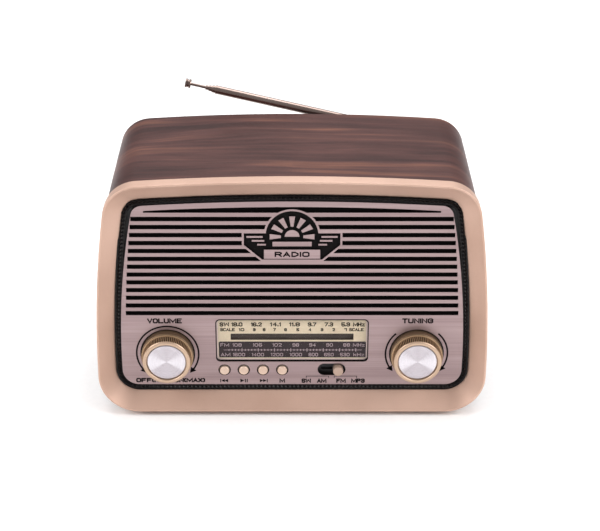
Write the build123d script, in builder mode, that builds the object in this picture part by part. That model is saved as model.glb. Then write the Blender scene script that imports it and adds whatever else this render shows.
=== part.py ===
"""Retro tabletop radio: wooden cabinet, satin metal bezel, slotted panel, tuning dial and telescopic antenna.

Millimetres, +Z up. The origin is on the floor, under the middle of the whole radio. The front faces -Y.
A sketch lies in a plane parallel to the front, given by its depth behind the bezel's foremost edge, and
its own axes are X and the height above the bezel's bottom edge.
"""

import os
from math import cos, pi, radians, sin

from build123d import *

os.makedirs("parts", exist_ok=True)

# ---- Cabinet: a rounded trapezoid with bowed sides and a crowned top
HALF_WIDTH = 111.2  # at the widest height
WIDEST_HEIGHT = 25
SIDE_RADIUS = 750
HEIGHT = 145.5
CROWN_RADIUS = 1300
TOP_CORNER = 20
BOTTOM_CORNER = 23
FOOT_HEIGHT = 3
WALL = 4
CABINET_BACK = 104  # depth of the wooden wrap's rear edge
KNOB_REACH = 4.2  # the knobs stand this far in front of the bezel
ANTENNA_REACH = 115  # depth of the antenna screw's head, the rearmost point
FRONT_Y = (KNOB_REACH - ANTENNA_REACH) / 2  # puts the origin midway between front and back

# ---- Layers of the front, as depths behind the bezel's front edge
BEZEL_SIDE_DEPTH = 8
BEZEL_INNER_DEPTH = 7.9
PANEL_DEPTH = 6.8
PANEL_THICKNESS = 1.5
PANEL_BACK = PANEL_DEPTH + PANEL_THICKNESS
CLOTH_THICKNESS = 0.4
CLOTH_BOTTOM = 59
BAFFLE_DEPTH = 10.5
BAFFLE_THICKNESS = 2.5
BAFFLE_BACK = BAFFLE_DEPTH + BAFFLE_THICKNESS

# ---- Insets of the nested outlines, at the sides and at the top and bottom
WOOD_INSET = (1.0, 1.0)
SHELL_INNER_INSET = (1.0 + WALL, 1.0 + WALL)
COVER_INSET = (5.2, 5.2)
RING_OUTER_INSET = (9.8, 10.9)
PANEL_INSET = (13.5, 14.6)
CLOTH_INSET = (14.0, 15.1)
LAND_INNER_INSET = (18, 19)

# ---- The bezel's hollow face: depths and insets from just in front of its crest to its inner edge
DISH_SECTIONS = (
    (-0.6, (0.4, 0.4)),
    (1.2, (2.3, 2.4)),
    (3.6, (5.0, 5.4)),
    (6.2, (8.0, 8.8)),
    (BEZEL_INNER_DEPTH, RING_OUTER_INSET),
)

# ---- Grille
SLOT_COUNT = 13
TOP_SLOT_HEIGHT = 120.3
SLOT_PITCH = 4.906
SLOT_WIDTH = 2.7
SLOT_END_MARGIN = 2.4  # metal left between the end of a slot and the panel's edge
CROWN_SLOT_BOTTOM = 124.1
CROWN_SLOT_MID = 127.6
CROWN_SLOT_END = 125.2
CROWN_SLOT_HALF = 82

# ---- Badge: a sunburst over a plain plaque, between two stepped wings
FAN_CENTRE_HEIGHT = 110.5
FAN_RADIUS = 14.6
WING_HALF = 26.8
WING_TOP = 111.6
WING_BOTTOM = 104.4
PLAQUE_HALF = 16.75
PLAQUE_TOP = 101.6
PLAQUE_BOTTOM = 94.4
RAY_CENTRE_HEIGHT = 109.5
BADGE_RIM = 1.1  # metal left between the badge's window and the slots

# ---- Knobs
KNOB_X = 71.5
KNOB_HEIGHT = 35
KNOB_HOLE_RADIUS = 15.75
KNOB_BACK = 8
KNURL_BACK = 2.6
KNURL_FRONT = -2.4
CAP_FRONT = -3.4
SHAFT_RADIUS = 3
RUNNING_CLEARANCE = 0.05
BUSHING_RADIUS = 4.5

# ---- Dial
DIAL_HALF = 43.3
DIAL_BOTTOM = 30.2
DIAL_TOP = 56.9
POINTER_SLOT_HALF = 35.2
POINTER_SLOT_BOTTOM = 43.0
POINTER_SLOT_TOP = 47.3
POINTER_PARK_X = -36
CORD_RADIUS = 0.4
CORD_DEPTH = 22
DRUM_PITCH_RADIUS = 22.28  # 70 mm of pointer travel in half a turn
IDLER_PITCH_RADIUS = 4.5
IDLER_X = -50
GUIDE_ROD_HEIGHT = 52
GUIDE_ROD_DEPTH = 18

# ---- Buttons and mode switch
BUTTON_HEIGHT = 24.2
BUTTON_XS = (-39.0, -27.9, -16.8, -5.7)
BUTTON_NAMES = ("button_previous", "button_play", "button_next", "button_mode")
BUTTON_HOLE_RADIUS = 3.55
SWITCH_X = 22.8
SWITCH_HEIGHT = 24.5
SWITCH_SLOT = (16.1, 7.7)
SWITCH_STEP = 2.5
SLIDER_X = SWITCH_X + 1.5 * SWITCH_STEP  # the last of its four positions

# ---- Speaker
SPEAKER_HEIGHT = 93.5
SPEAKER_RADIUS = 34.5
SPEAKER_OPENING_RADIUS = 30

# ---- Circuit boards
BOARD_THICKNESS = 1.6
MAIN_BOARD_DEPTH = 42
MAIN_BOARD_CENTRE = (38, 33)
MAIN_BOARD_SIZE = (120, 48)
STANDOFF_SPOTS = ((-16, 11.5), (-16, 43.4), (92, 14), (92, 53.5))

# ---- Ferrite aerial, clipped under the cabinet's top
FERRITE_HEIGHT = 131
FERRITE_DEPTH = 72
FERRITE_RADIUS = 4

# ---- Rear cover
COVER_DEPTH = 100
COVER_THICKNESS = 3
COVER_BACK = COVER_DEPTH + COVER_THICKNESS
BOSS_SPOTS = ((98.5, 14.5), (-98.5, 14.5), (92, 131), (-92, 131))
BATTERY_CENTRE = (-48, 29)
BATTERY_OPENING = (74, 28)
CELL_RADIUS = 9.2
CELL_DEPTH = 87.5
DOOR_AXIS_HEIGHT = 17
DOOR_AXIS_DEPTH = COVER_BACK - 1.5
JACK_FLOOR = 22  # height of the jack board's upper face
USB_X = 38
CARD_X = 55
AUX_X = 71
POWER_X = 85.5
JACK_BOARD_X = 61
JACK_BOARD_WIDTH = 62

# ---- Antenna, tilted up to the left behind the cabinet
PIVOT_X = 70
PIVOT_HEIGHT = 130.1
ANTENNA_DEPTH = 110
ANTENNA_TILT = radians(13.4)
ELBOW_REACH = 9.5
TUBE_RADII = (2.6, 2.2, 1.8, 1.4)
TUBE_WALL = 0.35
TUBE_STARTS = (13.5, 23, 24, 25)
TUBE_ENDS = (119, 121, 123, 125)
ROD_RADIUS = TUBE_RADII[3] - TUBE_WALL - RUNNING_CLEARANCE - 0.12
ROD_START = 26
ROD_END = 134
TIP_END = 137.6


def face_at(depth):
    """Plane parallel to the front, facing the listener, at a depth behind the bezel's front edge."""
    return Plane(origin=(0, FRONT_Y + depth, FOOT_HEIGHT), x_dir=(1, 0, 0), z_dir=(0, -1, 0))


def side_at(x):
    """Plane across the radio at x, facing right, whose axes are the depth and the height."""
    return Plane(origin=(x, FRONT_Y, FOOT_HEIGHT), x_dir=(0, 1, 0), z_dir=(1, 0, 0))


def level_at(height):
    """Horizontal plane at a height above the bezel's bottom edge, whose axes are X and the depth."""
    return Plane(origin=(0, FRONT_Y, FOOT_HEIGHT + height), x_dir=(1, 0, 0), z_dir=(0, 0, 1))


def antenna_plane(along=0.0, behind=0.0):
    """Plane square to the swivel axis, facing backwards, whose X axis runs along the antenna."""
    origin = (
        PIVOT_X - along * cos(ANTENNA_TILT),
        FRONT_Y + ANTENNA_DEPTH + behind,
        FOOT_HEIGHT + PIVOT_HEIGHT + along * sin(ANTENNA_TILT),
    )
    return Plane(origin=origin, x_dir=(-cos(ANTENNA_TILT), 0, sin(ANTENNA_TILT)), z_dir=(0, 1, 0))


def antenna_section_plane(along):
    """Plane square to the antenna, facing its tip."""
    direction = (-cos(ANTENNA_TILT), 0, sin(ANTENNA_TILT))
    return Plane(origin=antenna_plane(along).origin, x_dir=(0, 1, 0), z_dir=direction)


def half_width(height):
    """Half of the radio's width at a height: the sides bow gently."""
    return HALF_WIDTH - (height - WIDEST_HEIGHT) ** 2 / (2 * SIDE_RADIUS)


def cabinet_outline(depth, insets):
    """The front's rounded trapezoid at a depth, set in from the bezel's outer edge."""
    side_inset, end_inset = insets
    corner_x = half_width(HEIGHT) - side_inset
    corner_height = HEIGHT - corner_x**2 / (2 * CROWN_RADIUS) - end_inset
    middle_x = half_width(HEIGHT / 2) - side_inset
    bottom_x = half_width(end_inset) - side_inset
    with BuildSketch(face_at(depth)) as outline:
        with BuildLine():
            ThreePointArc((bottom_x, end_inset), (middle_x, HEIGHT / 2), (corner_x, corner_height))
            ThreePointArc((corner_x, corner_height), (0, HEIGHT - end_inset), (-corner_x, corner_height))
            ThreePointArc((-corner_x, corner_height), (-middle_x, HEIGHT / 2), (-bottom_x, end_inset))
            Line((-bottom_x, end_inset), (bottom_x, end_inset))
        make_face()
        fillet(outline.vertices().sort_by(Axis.Y)[-2:], TOP_CORNER - side_inset)
        fillet(outline.vertices().sort_by(Axis.Y)[:2], BOTTOM_CORNER - side_inset)
    return outline.sketch


def knob_plane(x, depth):
    """Plane facing the listener, centred on a knob's axis."""
    return Plane(origin=(x, FRONT_Y + depth, FOOT_HEIGHT + KNOB_HEIGHT), x_dir=(1, 0, 0), z_dir=(0, -1, 0))


def turning_plane(x, height):
    """Half-plane for profiles turned about an axis along Y: X is the radius and -Y the depth."""
    return Plane(origin=(x, FRONT_Y, FOOT_HEIGHT + height), x_dir=(1, 0, 0), z_dir=(0, 0, 1))


def depth_axis(x, height):
    """Axis along the depth, pointing backwards."""
    return Axis(origin=(x, 0, FOOT_HEIGHT + height), direction=(0, 1, 0))


def dome(rim_radius, rim_depth, centre_depth):
    """Arc from a turned profile's rim to its axis, square to the axis where they meet."""
    rise = centre_depth - rim_depth
    curve_radius = (rim_radius**2 + rise**2) / (2 * rise)
    centre = centre_depth - curve_radius
    middle_depth = centre + (curve_radius**2 - rim_radius**2 / 4) ** 0.5 * (1 if rise > 0 else -1)
    return ThreePointArc((rim_radius, rim_depth), (rim_radius / 2, middle_depth), (0, centre_depth))


# ======================================================================== cabinet and front

with BuildPart() as cabinet_shell:
    extrude(cabinet_outline(BEZEL_SIDE_DEPTH, WOOD_INSET), amount=BEZEL_SIDE_DEPTH - CABINET_BACK)
    extrude(
        cabinet_outline(BEZEL_SIDE_DEPTH, SHELL_INNER_INSET),
        amount=BEZEL_SIDE_DEPTH - CABINET_BACK,
        mode=Mode.SUBTRACT,
    )
    with BuildSketch(face_at(COVER_DEPTH)):
        with Locations(*BOSS_SPOTS):
            Circle(6)
    extrude(amount=14)
    with BuildSketch(face_at(COVER_DEPTH)):
        with Locations(*BOSS_SPOTS):
            Circle(1.3)
    extrude(amount=10, mode=Mode.SUBTRACT)
    for clip_x in (-42, 38):
        with BuildSketch(side_at(clip_x)):
            with Locations((FERRITE_DEPTH, FERRITE_HEIGHT + 4)):
                Rectangle(13, 18)
            with Locations((FERRITE_DEPTH, FERRITE_HEIGHT)):
                Circle(FERRITE_RADIUS, mode=Mode.SUBTRACT)
        extrude(amount=4)
    extrude(
        cabinet_outline(BEZEL_SIDE_DEPTH, WOOD_INSET),
        amount=BEZEL_SIDE_DEPTH - CABINET_BACK,
        mode=Mode.INTERSECT,
    )
cabinet_shell.part.label = "cabinet_shell"
export_step(cabinet_shell.part, "parts/cabinet_shell.step")

with BuildPart() as front_bezel:
    extrude(cabinet_outline(0, (0, 0)), amount=-BEZEL_SIDE_DEPTH)
    fillet(front_bezel.faces().sort_by(Axis.Y)[0].edges(), 0.4)
    extrude(cabinet_outline(BEZEL_SIDE_DEPTH, COVER_INSET), amount=BEZEL_SIDE_DEPTH - BAFFLE_DEPTH)
    loft([cabinet_outline(depth, insets).face() for depth, insets in DISH_SECTIONS], mode=Mode.SUBTRACT)
    extrude(cabinet_outline(BEZEL_INNER_DEPTH, RING_OUTER_INSET), amount=-4, mode=Mode.SUBTRACT)
front_bezel.part.label = "front_bezel"
export_step(front_bezel.part, "parts/front_bezel.step")

with BuildPart() as trim_ring:
    extrude(cabinet_outline(PANEL_DEPTH - 0.5, RING_OUTER_INSET), amount=PANEL_DEPTH - 0.5 - BAFFLE_DEPTH)
    extrude(cabinet_outline(0, PANEL_INSET), amount=-BAFFLE_DEPTH, mode=Mode.SUBTRACT)
trim_ring.part.label = "trim_ring"
export_step(trim_ring.part, "parts/trim_ring.step")

slot_heights = [TOP_SLOT_HEIGHT - SLOT_PITCH * row for row in range(SLOT_COUNT)]

with BuildSketch(face_at(PANEL_DEPTH)) as badge_window:
    with Locations((0, FAN_CENTRE_HEIGHT)):
        Circle(FAN_RADIUS)
    with BuildLine():
        Polyline(
            (-WING_HALF, WING_TOP),
            (WING_HALF, WING_TOP),
            (WING_HALF, WING_BOTTOM),
            (PLAQUE_HALF, PLAQUE_BOTTOM + 1),
            (-PLAQUE_HALF, PLAQUE_BOTTOM + 1),
            (-WING_HALF, WING_BOTTOM),
            close=True,
        )
    make_face()

with BuildSketch(face_at(PANEL_DEPTH)) as badge_border:
    add(badge_window.sketch_local)
    offset(amount=BADGE_RIM)

with BuildSketch(face_at(PANEL_DEPTH)) as grille_slots:
    for slot_height in slot_heights:
        slot_half = half_width(slot_height) - PANEL_INSET[0] - SLOT_END_MARGIN
        with Locations((0, slot_height)):
            Rectangle(2 * slot_half, SLOT_WIDTH)
    with BuildLine():
        Line((-CROWN_SLOT_HALF, CROWN_SLOT_BOTTOM), (CROWN_SLOT_HALF, CROWN_SLOT_BOTTOM))
        Line((CROWN_SLOT_HALF, CROWN_SLOT_BOTTOM), (CROWN_SLOT_HALF, CROWN_SLOT_END))
        ThreePointArc(
            (CROWN_SLOT_HALF, CROWN_SLOT_END), (0, CROWN_SLOT_MID), (-CROWN_SLOT_HALF, CROWN_SLOT_END)
        )
        Line((-CROWN_SLOT_HALF, CROWN_SLOT_END), (-CROWN_SLOT_HALF, CROWN_SLOT_BOTTOM))
    make_face()
    add(badge_border.sketch_local, mode=Mode.SUBTRACT)

with BuildSketch(face_at(PANEL_DEPTH)) as dial_window:
    with Locations((0, (DIAL_BOTTOM + DIAL_TOP) / 2)):
        RectangleRounded(2 * DIAL_HALF, DIAL_TOP - DIAL_BOTTOM, 2.2)

with BuildPart() as front_panel:
    extrude(cabinet_outline(PANEL_DEPTH, PANEL_INSET), amount=-PANEL_THICKNESS)
    extrude(grille_slots.sketch, amount=-PANEL_THICKNESS, mode=Mode.SUBTRACT)
    extrude(badge_window.sketch, amount=-PANEL_THICKNESS, mode=Mode.SUBTRACT)
    extrude(dial_window.sketch, amount=-PANEL_THICKNESS, mode=Mode.SUBTRACT)
    with BuildSketch(face_at(PANEL_DEPTH)):
        with Locations((-KNOB_X, KNOB_HEIGHT), (KNOB_X, KNOB_HEIGHT)):
            Circle(KNOB_HOLE_RADIUS)
        with Locations(*[(x, BUTTON_HEIGHT) for x in BUTTON_XS]):
            Circle(BUTTON_HOLE_RADIUS)
        with Locations((SWITCH_X, SWITCH_HEIGHT)):
            SlotOverall(*SWITCH_SLOT)
    extrude(amount=-PANEL_THICKNESS, mode=Mode.SUBTRACT)
front_panel.part.label = "front_panel"
export_step(front_panel.part, "parts/front_panel.step")

with BuildSketch(face_at(PANEL_DEPTH)) as badge_relief:
    with Locations((0, (PLAQUE_TOP + PLAQUE_BOTTOM + 1.4) / 2)):
        Rectangle(2 * PLAQUE_HALF - 2, PLAQUE_TOP - PLAQUE_BOTTOM - 1.4)
    with Locations((0, 105)):
        Rectangle(22, 3)
    with Locations((0, RAY_CENTRE_HEIGHT)):
        with PolarLocations(9.3, 7, start_angle=0, angular_range=180, endpoint=True):
            Trapezoid(3.5, 6.4, 82, rotation=90)
        Circle(4.2)
    with Locations((0, RAY_CENTRE_HEIGHT - 3)):
        Rectangle(10, 6, mode=Mode.SUBTRACT)
    for side in (-1, 1):
        for step in range(3):
            with Locations((side * (20.8 - 1.9 * step), 109.4 - 2.4 * step)):
                Rectangle(9.2 - 2.1 * step, 1.2)

with BuildPart() as badge:
    extrude(badge_window.sketch, amount=-PANEL_THICKNESS)
    extrude(badge_window.sketch, amount=-0.9, mode=Mode.SUBTRACT)
    extrude(badge_relief.sketch, amount=-PANEL_THICKNESS)
badge.part.label = "badge"
export_step(badge.part, "parts/badge.step")

with BuildPart() as grille_cloth:
    extrude(cabinet_outline(PANEL_BACK, CLOTH_INSET), amount=-CLOTH_THICKNESS)
    with BuildSketch(face_at(PANEL_BACK)):
        with Locations((0, CLOTH_BOTTOM / 2)):
            Rectangle(2 * HALF_WIDTH, CLOTH_BOTTOM)
    extrude(amount=-CLOTH_THICKNESS, mode=Mode.SUBTRACT)
grille_cloth.part.label = "grille_cloth"
export_step(grille_cloth.part, "parts/grille_cloth.step")

idler_height = KNOB_HEIGHT + DRUM_PITCH_RADIUS - IDLER_PITCH_RADIUS
with BuildPart() as inner_baffle:
    extrude(cabinet_outline(BAFFLE_DEPTH, COVER_INSET), amount=-BAFFLE_THICKNESS)
    extrude(cabinet_outline(PANEL_BACK, PANEL_INSET), amount=PANEL_BACK - BAFFLE_DEPTH)
    extrude(
        cabinet_outline(PANEL_BACK, LAND_INNER_INSET),
        amount=PANEL_BACK - BAFFLE_DEPTH,
        mode=Mode.SUBTRACT,
    )
    with BuildSketch(face_at(PANEL_BACK)):
        with Locations((0, (CLOTH_BOTTOM + HEIGHT) / 2)):
            Rectangle(2 * HALF_WIDTH, HEIGHT - CLOTH_BOTTOM)
    extrude(amount=-CLOTH_THICKNESS, mode=Mode.SUBTRACT)
    with BuildSketch(face_at(BAFFLE_DEPTH)):
        with Locations((0, SPEAKER_HEIGHT)):
            Circle(SPEAKER_OPENING_RADIUS)
        with Locations((0, 49.2)):
            Rectangle(84, 18.4)
        with Locations((-KNOB_X, KNOB_HEIGHT), (KNOB_X, KNOB_HEIGHT)):
            Circle(BUSHING_RADIUS)
        with Locations(*[(x, BUTTON_HEIGHT) for x in BUTTON_XS]):
            Circle(2.4)
        with Locations((SWITCH_X, SWITCH_HEIGHT)):
            Rectangle(12, 4.2)
    extrude(amount=-BAFFLE_THICKNESS, mode=Mode.SUBTRACT)
    with BuildSketch(face_at(BAFFLE_BACK)):
        with Locations((IDLER_X, idler_height)):
            Circle(3.2)
        with Locations((-48.5, GUIDE_ROD_HEIGHT), (48.5, GUIDE_ROD_HEIGHT)):
            Rectangle(2.5, 5)
    extrude(amount=-6.6)
    with BuildSketch(face_at(BAFFLE_BACK)):
        with Locations((IDLER_X, idler_height)):
            Circle(2)
    extrude(amount=-12)
    with BuildSketch(side_at(-60)):
        with Locations((GUIDE_ROD_DEPTH, GUIDE_ROD_HEIGHT)):
            Circle(1)
    extrude(amount=120, mode=Mode.SUBTRACT)
inner_baffle.part.label = "inner_baffle"
export_step(inner_baffle.part, "parts/inner_baffle.step")

# ======================================================================== dial

with BuildPart() as dial_lens:
    extrude(dial_window.sketch, amount=-PANEL_THICKNESS)
    extrude(dial_window.sketch, amount=-0.3, mode=Mode.SUBTRACT)
dial_lens.part.label = "dial_lens"
export_step(dial_lens.part, "parts/dial_lens.step")

with BuildPart() as dial_plate:
    with BuildSketch(face_at(PANEL_BACK)):
        with Locations((0, (DIAL_BOTTOM + DIAL_TOP) / 2)):
            Rectangle(2 * DIAL_HALF + 3, DIAL_TOP - DIAL_BOTTOM + 1.6)
        with Locations((0, (POINTER_SLOT_BOTTOM + POINTER_SLOT_TOP) / 2)):
            Rectangle(2 * POINTER_SLOT_HALF, POINTER_SLOT_TOP - POINTER_SLOT_BOTTOM, mode=Mode.SUBTRACT)
    extrude(amount=-0.5)
dial_plate.part.label = "dial_plate"
export_step(dial_plate.part, "parts/dial_plate.step")

with BuildPart() as dial_pointer:
    with BuildSketch(face_at(PANEL_BACK + 0.9)):
        with Locations((POINTER_PARK_X, 50)):
            Rectangle(0.9, 15)
    extrude(amount=-0.6)
    with BuildSketch(face_at(PANEL_BACK + 1.5)):
        with Locations((POINTER_PARK_X, 53.5)):
            Rectangle(3, 5)
    extrude(amount=-(14 - PANEL_BACK - 1.5))
dial_pointer.part.label = "dial_pointer"
export_step(dial_pointer.part, "parts/dial_pointer.step")

with BuildPart() as pointer_carriage:
    with BuildSketch(face_at(14)):
        with Locations((POINTER_PARK_X, 53.6)):
            Rectangle(8, 9.6)
    extrude(amount=-10)
    with BuildSketch(side_at(POINTER_PARK_X - 4)):
        with Locations((GUIDE_ROD_DEPTH, GUIDE_ROD_HEIGHT)):
            Circle(1 + RUNNING_CLEARANCE)
        with Locations((CORD_DEPTH, KNOB_HEIGHT + DRUM_PITCH_RADIUS + 0.6)):
            Rectangle(1.8, 3)
    extrude(amount=8, mode=Mode.SUBTRACT)
pointer_carriage.part.label = "pointer_carriage"
export_step(pointer_carriage.part, "parts/pointer_carriage.step")

with BuildPart() as guide_rod:
    with BuildSketch(side_at(-49.75)):
        with Locations((GUIDE_ROD_DEPTH, GUIDE_ROD_HEIGHT)):
            Circle(1)
    extrude(amount=99.5)
guide_rod.part.label = "guide_rod"
export_step(guide_rod.part, "parts/guide_rod.step")

with BuildPart() as idler_pulley:
    with BuildSketch(turning_plane(IDLER_X, idler_height)):
        with BuildLine():
            Polyline(
                (2 + RUNNING_CLEARANCE, CORD_DEPTH - 1.7),
                (6, CORD_DEPTH - 1.7),
                (6, CORD_DEPTH - 1.3),
                (IDLER_PITCH_RADIUS - 0.8, CORD_DEPTH - 0.8),
                (IDLER_PITCH_RADIUS - 0.8, CORD_DEPTH + 0.8),
                (6, CORD_DEPTH + 1.3),
                (6, CORD_DEPTH + 1.7),
                (2 + RUNNING_CLEARANCE, CORD_DEPTH + 1.7),
                close=True,
            )
        make_face()
    revolve(axis=depth_axis(IDLER_X, idler_height))
idler_pulley.part.label = "idler_pulley"
export_step(idler_pulley.part, "parts/idler_pulley.step")

with BuildPart() as tuning_drum:
    with BuildSketch(turning_plane(KNOB_X, KNOB_HEIGHT)):
        with BuildLine():
            Polyline(
                (SHAFT_RADIUS, CORD_DEPTH - 2),
                (24, CORD_DEPTH - 2),
                (24, CORD_DEPTH - 1.4),
                (DRUM_PITCH_RADIUS - 0.8, CORD_DEPTH - 0.9),
                (DRUM_PITCH_RADIUS - 0.8, CORD_DEPTH + 0.9),
                (24, CORD_DEPTH + 1.4),
                (24, CORD_DEPTH + 2),
                (7, CORD_DEPTH + 2),
                (7, CORD_DEPTH + 5),
                (SHAFT_RADIUS, CORD_DEPTH + 5),
                close=True,
            )
        make_face()
    revolve(axis=depth_axis(KNOB_X, KNOB_HEIGHT))
    with BuildSketch(knob_plane(KNOB_X, CORD_DEPTH - 3)):
        with PolarLocations(14, 6):
            Circle(3.6)
    extrude(amount=-8, mode=Mode.SUBTRACT)
tuning_drum.part.label = "tuning_drum"
export_step(tuning_drum.part, "parts/tuning_drum.step")

# The cord leaves both pulleys level at the top. Its lower run mirrors the upper one about the line of centres.
upward = Vector(0, 1)
drum_centre = Vector(KNOB_X, KNOB_HEIGHT)
idler_centre = Vector(IDLER_X, idler_height)
to_idler = (idler_centre - drum_centre).normalized()
lower_normal = to_idler * (2 * to_idler.Y) - upward


def on_pulley(centre, direction, radius):
    """Point of the cord's centre line on a pulley, in the cord's own plane."""
    point = centre + direction * radius
    return (point.X, point.Y)


with BuildPart() as dial_cord:
    with BuildLine(face_at(CORD_DEPTH)):
        drum_top = on_pulley(drum_centre, upward, DRUM_PITCH_RADIUS)
        drum_far = on_pulley(drum_centre, -to_idler, DRUM_PITCH_RADIUS)
        drum_low = on_pulley(drum_centre, lower_normal, DRUM_PITCH_RADIUS)
        idler_top = on_pulley(idler_centre, upward, IDLER_PITCH_RADIUS)
        idler_far = on_pulley(idler_centre, to_idler, IDLER_PITCH_RADIUS)
        idler_low = on_pulley(idler_centre, lower_normal, IDLER_PITCH_RADIUS)
        Line(drum_top, idler_top)
        ThreePointArc(idler_top, idler_far, idler_low)
        Line(idler_low, drum_low)
        ThreePointArc(drum_low, drum_far, drum_top)
    with BuildSketch(side_at(KNOB_X)):
        with Locations((CORD_DEPTH, KNOB_HEIGHT + DRUM_PITCH_RADIUS)):
            Circle(CORD_RADIUS)
    sweep()
dial_cord.part.label = "dial_cord"
export_step(dial_cord.part, "parts/dial_cord.step")

with BuildPart() as tuning_shaft:
    with BuildSketch(knob_plane(KNOB_X, 0)):
        Circle(SHAFT_RADIUS)
    extrude(amount=-37)
tuning_shaft.part.label = "tuning_shaft"
export_step(tuning_shaft.part, "parts/tuning_shaft.step")

with BuildPart() as tuning_bushing:
    with BuildSketch(knob_plane(KNOB_X, KNOB_BACK + 0.4)):
        Circle(BUSHING_RADIUS)
    extrude(amount=-(BAFFLE_BACK - KNOB_BACK - 0.4))
    with BuildSketch(knob_plane(KNOB_X, BAFFLE_BACK)):
        Circle(7)
    extrude(amount=-5)
    with BuildSketch(knob_plane(KNOB_X, 0)):
        Circle(SHAFT_RADIUS + RUNNING_CLEARANCE)
    extrude(amount=-20, mode=Mode.SUBTRACT)
tuning_bushing.part.label = "tuning_bushing"
export_step(tuning_bushing.part, "parts/tuning_bushing.step")

with BuildPart() as shaft_nuts:
    for knob_x in (-KNOB_X, KNOB_X):
        with BuildSketch(knob_plane(knob_x, BAFFLE_DEPTH - 1.6)):
            RegularPolygon(6.2, 6, major_radius=False)
            Circle(BUSHING_RADIUS, mode=Mode.SUBTRACT)
        extrude(amount=-1.6)
shaft_nuts.part.label = "shaft_nuts"
export_step(shaft_nuts.part, "parts/shaft_nuts.step")

with BuildPart() as tuning_capacitor:
    with BuildSketch(knob_plane(KNOB_X, 30)):
        RectangleRounded(20, 20, 1.5)
        Circle(SHAFT_RADIUS + RUNNING_CLEARANCE, mode=Mode.SUBTRACT)
    extrude(amount=-8)
    with BuildSketch(knob_plane(KNOB_X, 38)):
        RectangleRounded(20, 20, 1.5)
    extrude(amount=38 - MAIN_BOARD_DEPTH)
tuning_capacitor.part.label = "tuning_capacitor"
export_step(tuning_capacitor.part, "parts/tuning_capacitor.step")

# ======================================================================== knobs


def knob(x):
    """Stepped knob with a skirt, a beaded edge, a knurled band and a tapering rim round its cap."""
    with BuildPart() as body:
        with BuildSketch(turning_plane(x, KNOB_HEIGHT)):
            with BuildLine():
                Line((0, KNOB_BACK), (15, KNOB_BACK))
                Line((15, KNOB_BACK), (15, 3.4))
                ThreePointArc((15, 3.4), (14.8, 2.8), (14.2, KNURL_BACK))
                Line((14.2, KNURL_BACK), (13.4, KNURL_BACK))
                Line((13.4, KNURL_BACK), (13.4, KNURL_FRONT))
                Line((13.4, KNURL_FRONT), (13.8, KNURL_FRONT))
                ThreePointArc((13.8, KNURL_FRONT), (13.4, -3.8), (12.2, -KNOB_REACH))
                Line((12.2, -KNOB_REACH), (11.4, -KNOB_REACH))
                Line((11.4, -KNOB_REACH), (11.4, -1.8))
                Line((11.4, -1.8), (0, -1.8))
                Line((0, -1.8), (0, KNOB_BACK))
            make_face()
        revolve(axis=depth_axis(x, KNOB_HEIGHT))
        knurl = [
            (radius * cos(2 * pi * tooth / 96), radius * sin(2 * pi * tooth / 96))
            for tooth, radius in enumerate([14.3, 13.7] * 48)
        ]
        with BuildSketch(knob_plane(x, KNURL_FRONT)):
            Polygon(*knurl, align=None)
            Circle(12.4, mode=Mode.SUBTRACT)
        extrude(amount=KNURL_FRONT - KNURL_BACK)
        with BuildSketch(knob_plane(x, KNOB_BACK)):
            Circle(SHAFT_RADIUS)
        extrude(amount=KNOB_BACK, mode=Mode.SUBTRACT)
    return body.part


def knob_cap(x):
    """Spun disc set in the knob's face, with a shallow dish and a soft edge."""
    with BuildPart() as disc:
        with BuildSketch(turning_plane(x, KNOB_HEIGHT)):
            with BuildLine():
                Line((0, -1.8), (11, -1.8))
                Line((11, -1.8), (11, CAP_FRONT + 0.6))
                ThreePointArc((11, CAP_FRONT + 0.6), (10.8, CAP_FRONT + 0.2), (10.3, CAP_FRONT))
                dome(10.3, CAP_FRONT, CAP_FRONT + 0.4)
                Line((0, CAP_FRONT + 0.4), (0, -1.8))
            make_face()
        revolve(axis=depth_axis(x, KNOB_HEIGHT))
    return disc.part


tuning_knob = knob(KNOB_X)
tuning_knob.label = "tuning_knob"
export_step(tuning_knob, "parts/tuning_knob.step")

volume_knob = knob(-KNOB_X)
volume_knob.label = "volume_knob"
export_step(volume_knob, "parts/volume_knob.step")

tuning_knob_cap = knob_cap(KNOB_X)
tuning_knob_cap.label = "tuning_knob_cap"
export_step(tuning_knob_cap, "parts/tuning_knob_cap.step")

volume_knob_cap = knob_cap(-KNOB_X)
volume_knob_cap.label = "volume_knob_cap"
export_step(volume_knob_cap, "parts/volume_knob_cap.step")

with BuildPart() as volume_shaft:
    with BuildSketch(knob_plane(-KNOB_X, 0)):
        Circle(SHAFT_RADIUS)
    extrude(amount=-19.5)
volume_shaft.part.label = "volume_shaft"
export_step(volume_shaft.part, "parts/volume_shaft.step")

with BuildPart() as volume_potentiometer:
    with BuildSketch(knob_plane(-KNOB_X, KNOB_BACK + 0.4)):
        Circle(BUSHING_RADIUS)
    extrude(amount=-(BAFFLE_BACK - KNOB_BACK - 0.4))
    with BuildSketch(knob_plane(-KNOB_X, BAFFLE_BACK)):
        Circle(8.5)
    extrude(amount=-9)
    with BuildSketch(knob_plane(-KNOB_X, 0)):
        Circle(SHAFT_RADIUS + RUNNING_CLEARANCE)
    extrude(amount=-20, mode=Mode.SUBTRACT)
    with BuildSketch(knob_plane(-KNOB_X, BAFFLE_BACK + 3)):
        with Locations((-5, -10), (0, -10), (5, -10)):
            Rectangle(1.4, 7)
    extrude(amount=-0.6)
volume_potentiometer.part.label = "volume_potentiometer"
export_step(volume_potentiometer.part, "parts/volume_potentiometer.step")

# ======================================================================== buttons and mode switch

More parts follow.
